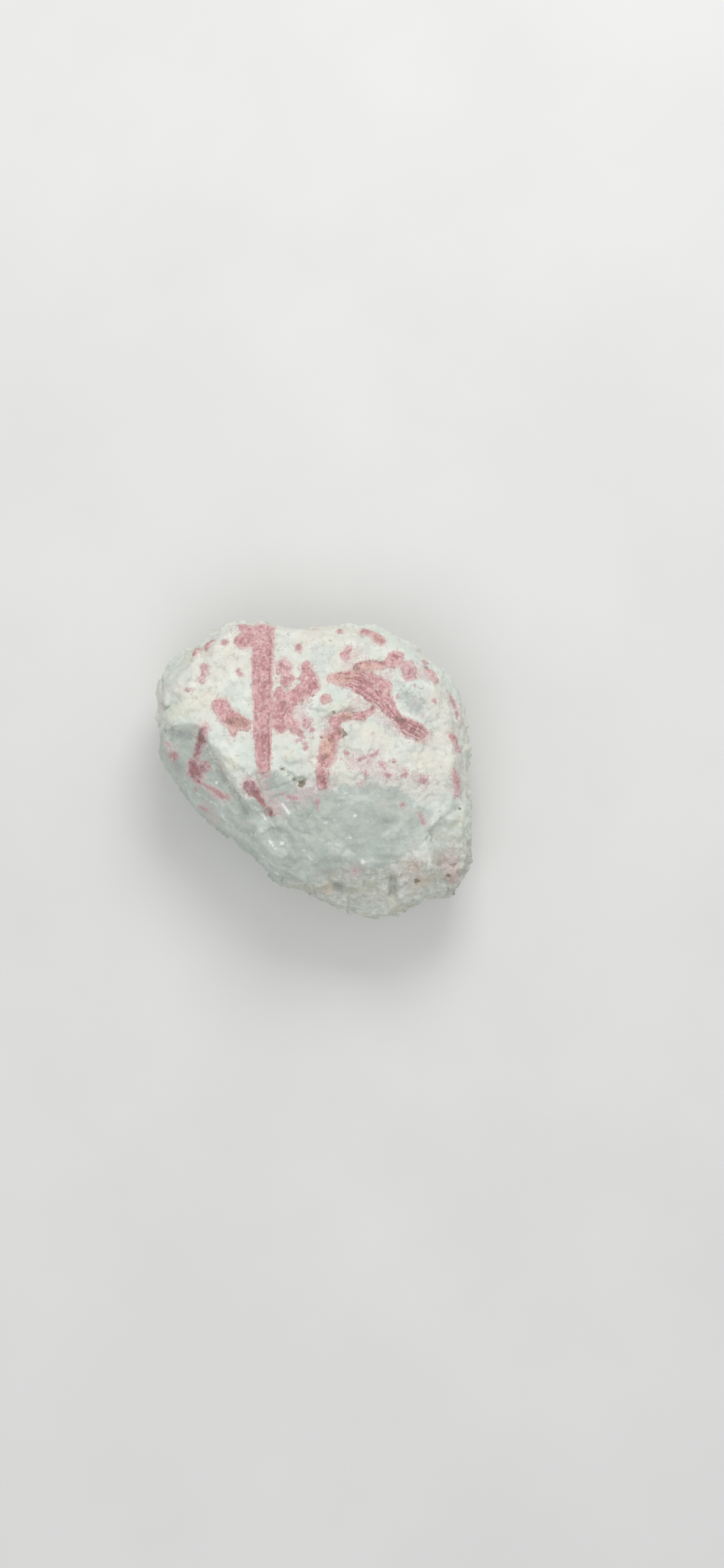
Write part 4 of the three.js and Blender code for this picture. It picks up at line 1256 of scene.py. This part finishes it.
def smoothed(rows, rounds):
    """Each row becomes the mean of itself and its neighbours, several times over."""
    rows = rows.copy()
    for _ in range(rounds):
        rows[1:-1] = (rows[:-2] + rows[1:-1] * 2 + rows[2:]) / 4
    return rows


def resampled(stations, step):
    """Stations at even distances along the chain, with its corners softened, and its length."""
    stations = np.array(stations, dtype=float)
    run = np.concatenate([[0], np.cumsum(np.hypot(*np.diff(stations[:, :2], axis=0).T))])
    even = np.linspace(0, run[-1], max(int(run[-1] / step), LEAST_ROWS))
    line = np.stack([np.interp(even, run, column) for column in stations.T], axis=1)
    return smoothed(line, LINE_ROUNDS), run[-1]


def onward(ways, count):
    """More directions past the end of a line of them. At the rim the line's own steps shrink to
    nothing, so the new ones have a least length."""
    few = min(4, len(ways) - 1)
    step = (ways[-1] - ways[-1 - few]) / few
    step *= max(1.0, LEAST_TURN / np.linalg.norm(step))
    return ways[-1] + step * np.arange(1, count + 1)[:, None]


def long_directions(line):
    """A table of directions with one side along the line of stations and the other across it.
    Both sides go past the crystal by the margin. Returns it with each row's half-width, each
    column's distance from the middle, and the distance along."""
    half = line[:, 2:3]
    tangent = unit(np.gradient(line[:, :2], axis=0))
    side = np.stack([-tangent[:, 1], tangent[:, 0]], axis=1)
    middle_way = smoothed(aimed(*line[:, :2].T), AIM_ROUNDS)
    side_way = aimed(*(line[:, :2] + side * half).T) - middle_way
    side_way = smoothed(side_way / half, SIDE_ROUNDS)
    extra = int(MARGIN / LONG_STEP)
    before, after = onward(middle_way[::-1], extra)[::-1], onward(middle_way, extra)
    middle_way = np.concatenate([before, middle_way, after])
    half, side_way = [np.pad(rows, ((extra, extra), (0, 0)), mode="edge") for rows in (half, side_way)]
    columns = max(int(2 * (half.mean() + MARGIN) / SIDE_STEP), LEAST_COLUMNS)
    away = np.linspace(-1, 1, columns) * (half + MARGIN)
    run = (np.arange(len(half)) - extra) * LONG_STEP
    return unit(middle_way[:, None] + side_way[:, None] * away[..., None]), half, away, run


# %% The shape of a long crystal
# Height of a wave, radians a millimetre, how far drift shifts it, and where it starts.
WAVES = ((1.0, 7.5, 3, 0.0), (0.7, 12.6, 5, 1.3))
DRIFT_SIZE = 5.0
SEAM_HALF, SEAM_SIZE, SEAM_DEPTH = 0.25, 3.0, 4
END_OUT, END_ROUND = 0.3, 0.6
GROOVE_SHADE = 5
CRYSTAL_GRAIN = (1.1, 40.0)


def long_crystal_sheet(stations, rise, grooves, seams, seed):
    """The height is flat with a bevel at each edge and a round, broken end, plus grooves: a few
    sine waves in the distance across, which drift slowly along the crystal. A seam is one deeper
    groove, and noise breaks it off in places."""
    line, length = resampled(stations, LONG_STEP)
    directions, half, away, run = long_directions(line)
    face = finished_face(directions)
    flat, shape = face[0].reshape(-1, 3), away.shape

    def rough(size, number):
        return noise(flat, size, seed + number).reshape(shape)

    ends = np.minimum(run, length - run)[:, None] + 0.5 * rough(1.3, 0) + 0.8 * rough(2.6, 5)
    ends = ends + END_OUT - END_ROUND * away**2 / half
    inside = np.minimum(half - np.abs(away) + 0.25 * rough(1.6, 1), ends)
    drift = rough(DRIFT_SIZE, 2)
    waves = sum(tall * np.sin(away * turn + shift * drift + start) for tall, turn, shift, start in WAVES)
    seam = sum(np.exp(-(((away - place * half) / SEAM_HALF) ** 2)) for place in seams)
    seam = seam * smooth_step(rough(SEAM_SIZE, 4), -0.6, 0.1)
    ridge = grooves * (waves - SEAM_DEPTH * seam) * smooth_step(inside, 0.0, 0.5)
    grain = 0.09 * chips(flat, *CRYSTAL_GRAIN, seed + 3).reshape(shape)
    # Painted shade: this value darkens the grooves and the seams.
    painted_groove_shade = np.clip(np.maximum(seam, np.clip(-waves, 0, 1) * grooves * GROOVE_SHADE), 0, 1)
    return raised_sheet(face, inside, -0.45, rise, ridge + grain, painted_groove_shade)


# %% Clusters
CLUSTER_STEP = 0.30
CLUSTER_MARGIN = 1.5
LEAST_CELLS = 8
TRIAL = 0.01
# Height, size and sharpness of the stubs' tops, and how far and how closely the edge wanders.
STUBS = ((0.20, 1.9, 45.0), (0.09, 0.95, 40.0))
RAGGED_EDGE = ((0.5, 2.3), (0.35, 1.0))
STUB_SHADE = 0.6


def cluster_directions(stations):
    """A square table of directions that covers the stations. Its sides run along the stone from
    the middle station, and a short trial step along each tells how many millimetres a step of
    direction makes."""
    ways = aimed(stations[:, 0], stations[:, 1])
    middle = unit(ways.mean(axis=0))
    side_u = unit(np.cross([0.0, 1.0, 0.0], middle))
    side_v = np.cross(middle, side_u)
    tables = []
    for side in (side_u, side_v):
        ends = bare_face(unit(np.stack([middle - TRIAL * side, middle + TRIAL * side])))
        scale = np.linalg.norm(ends[1] - ends[0]) / (2 * TRIAL)
        reach = (ways @ side) / (ways @ middle)
        spare = (stations[:, 2] + CLUSTER_MARGIN) / scale
        low, high = (reach - spare).min(), (reach + spare).max()
        count = max(int((high - low) * scale / CLUSTER_STEP), LEAST_CELLS)
        tables.append(np.linspace(low, high, count))
    return unit(middle + tables[0][:, None, None] * side_u + tables[1][:, None] * side_v)


def cluster_sheet(chains, rise, seed):
    """A square table over the chains. Inside their edge, which noise moves in and out, the sheet
    stands proud, and it is broken into stubs: chips of two sizes with crisp edges."""
    stations = np.array([station for chain in chains for station in chain], dtype=float)
    face = finished_face(cluster_directions(stations))
    flat, shape = face[0].reshape(-1, 3), face[0].shape[:2]
    wander = noises(flat, *((*layer, seed + k) for k, layer in enumerate(RAGGED_EDGE)))
    stubs = several_chips(flat, *((*layer, seed + k) for k, layer in enumerate(STUBS, start=2)))
    stubs = stubs.reshape(shape)
    inside = (inside_chains(flat, laid(chains)) + wander).reshape(shape)
    # Painted shade: this value darkens the low gaps between the stubs.
    painted_groove_shade = smooth_step(-stubs, 0.08, 0.25) * STUB_SHADE
    return raised_sheet(face, inside, -0.55, rise, stubs, painted_groove_shade)


# %% [markdown]
# ## The crystals' finish
#
# The tourmaline is rose pink and granular: paler and deeper grains a millimetre across, with
# smaller brown grains among them. One recipe makes three finishes, rose, pale and brown; the brown
# one is a darker tone and also painted shade, for the groups in the low left corner. Grooves and
# the gaps between stubs are darker as painted shade, the edge of each crystal fades into the
# white rock, and the same brown, peach and deep flecks as on the stone cross its surface.

# %% Tourmaline finish
def tourmaline_finish(name, rose, deep, pale):
    """Rose in patches of deep, with pale and deep grains and the marks over them."""
    f = Finish(name)
    patchy = f.noise(3.4, 3.0, 0.6)
    fine = f.noise(1.1, 4.0, 0.65)
    grain = f.noise(0.45, 3.0, 0.6)
    f.ragged(patchy, fine, grain)
    mosaic = f.cells(0.85, "Color")
    colour = f.layers(linear(*rose), [
        (f.step(patchy, 0.36, 0.66, 0.0, 0.75), deep),
        (f.step(fine, 0.46, 0.68, 0.0, 0.65), pale),
        (f.step(mosaic, 0.50, 0.75, 0.0, 0.6), deep),
        (f.step(mosaic, 0.20, 0.42, 0.4, 0.0), pale),
        (f.mark("peach", 0.3, 0.9, 0.55), (222, 188, 166)),
        # Painted shade in the grooves and between the stubs.
        (f.mark("painted_groove_shade", 0.25, 0.9, 0.7), (154, 100, 102)),
        (f.mark("brown", 0.3, 0.9, 0.6), (146, 110, 98)),
        (f.mark("deep", 0.2, 1.1, 0.6), (160, 108, 110)),
        (f.step(f.cells(0.5, "Color"), 0.62, 0.80, 0.0, 0.45), (150, 104, 102)),
        (f.step(grain, 0.56, 0.66, 0.0, 0.35), (150, 100, 98)),
        (f.mark("depth", -0.05, 0.6, 0.0, 0.75), (222, 202, 196)),
    ])
    normal = f.bump(f.noise(1.2, 6.0, 0.7), 0.18, f.bump(mosaic, 0.05))
    return f.finish(colour, f.step(fine, 0.3, 0.7, 0.34, 0.52), normal)


SLOT_FINISHES = {
    PINK: tourmaline_finish("rose tourmaline", (217, 171, 170), (194, 139, 142), (234, 206, 202)),
    PALE: tourmaline_finish("pale tourmaline", (216, 182, 181), (200, 156, 160), (230, 212, 208)),
    # The brown finish is a darker tone of the two groups in the low left corner, and partly painted shade
    # of that corner.
    BROWN_AND_SHADE: tourmaline_finish("brown tourmaline", (178, 142, 144), (144, 104, 108), (204, 176, 174)),
}
print("crystal finishes:", ", ".join(finish.name for finish in SLOT_FINISHES.values()))

# %% [markdown]
# ## Placing the crystals
#
# Each crystal takes the place of one solid of the frame. A long crystal with a group grown to it
# gets two sheets, joined into one object.

# %% Placing
def joined_sheets(sheets):
    """Several closed solids in one set of arrays: later cells count on from earlier points."""
    points, cells, values, count = [], [], {}, 0
    for top, bottom, numbers in sheets:
        sheet_points, sheet_cells = closed_sheet(top, bottom)
        points.append(sheet_points)
        cells.append(sheet_cells + count)
        count += len(sheet_points)
        for key, table in numbers.items():
            values.setdefault(key, []).extend([table.ravel(), table.ravel()])
    return np.concatenate(points), np.concatenate(cells), {k: np.concatenate(v) for k, v in values.items()}


def place_crystal(node, sheets, slot):
    """One piece in place of one solid of the frame, with the finish of its slot."""
    points, cells, values = joined_sheets(sheets)
    values.update(fleck_values(points, ("peach", "brown", "deep")))
    piece = mesh_object("carved_" + node, points, cells, values, SLOT_FINISHES[slot])
    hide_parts(node)
    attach(piece, "root")


# %% Long crystals in their places
LONG_SEED, CLUSTER_SEED, SEED_STEP, GROUP_SEED = 1000, 2000, 50, 20

for number, (node, entry) in enumerate(LONG_CRYSTALS.items()):
    seed = LONG_SEED + SEED_STEP * number
    sheets = [long_crystal_sheet(entry["bar"], entry["rise"], entry["grooves"], entry["seams"], seed)]
    if entry["group"]:
        sheets.append(cluster_sheet(entry["group"], entry["rise"], seed + GROUP_SEED))
    place_crystal(node, sheets, entry["slot"])

# %% Clusters in their places
for number, (node, (chains, rise, slot)) in enumerate(CLUSTERS.items()):
    place_crystal(node, [cluster_sheet(chains, rise, CLUSTER_SEED + SEED_STEP * number)], slot)

# %% [markdown]
# ## Floor and light
#
# A plain pale floor, and the soft light of a studio: a large lamp high beyond the upper end of
# the face, a weaker one above its lower end, and an even glow from all round. The glow is strong,
# because the shadows on the photographed stone are faint.

# %% Floor
FLOOR_HALF = 700.0


def floor_finish():
    """Pale and matt, a little uneven."""
    f = Finish("floor")
    colour = f.layers(linear(222, 221, 218), [(f.step(f.noise(60.0), 0.3, 0.7), (226, 225, 222))])
    return f.finish(colour, 0.8, f.bump(f.noise(1.5), 0.02))


floor_mesh = bpy.data.meshes.new("floor")
corners = [(x * FLOOR_HALF * MM, y * FLOOR_HALF * MM, 0) for x, y in ((-1, -1), (1, -1), (1, 1), (-1, 1))]
floor_mesh.from_pydata(corners, [], [(0, 1, 2, 3)])
floor_mesh.materials.append(floor_finish())
floor = in_scene("floor", floor_mesh)
print("floor", 2 * FLOOR_HALF * MM, "m wide")

# %% Lights
SKY = (0.95, 0.97, 1.0, 1.0)
SKY_STRENGTH = 0.62


def soft_lamp(name, place, size, power):
    """A square lamp in millimetres and watts that faces the middle of the stone."""
    data = bpy.data.lights.new(name, "AREA")
    data.size = size * MM
    data.energy = power
    lamp = in_scene(name, data)
    position = np.array(place, dtype=float)
    towards = unit(HEART - position)
    lamp.location = position * MM
    lamp.rotation_euler = (
        math.acos(-towards[2]),
        0,
        math.atan2(towards[1], towards[0]) - math.pi / 2,
    )


soft_lamp("key", (70, 370, 430), 240, 1.25)
soft_lamp("fill", (-90, -260, 640), 420, 0.85)

world = bpy.data.worlds.new("studio")
world.use_nodes = True
background = world.node_tree.nodes["Background"]
background.inputs["Color"].default_value = SKY
background.inputs["Strength"].default_value = SKY_STRENGTH
bpy.context.scene.world = world
bpy.context.scene.view_settings.view_transform = "Standard"
print("lights: two lamps and a glow of", SKY_STRENGTH)
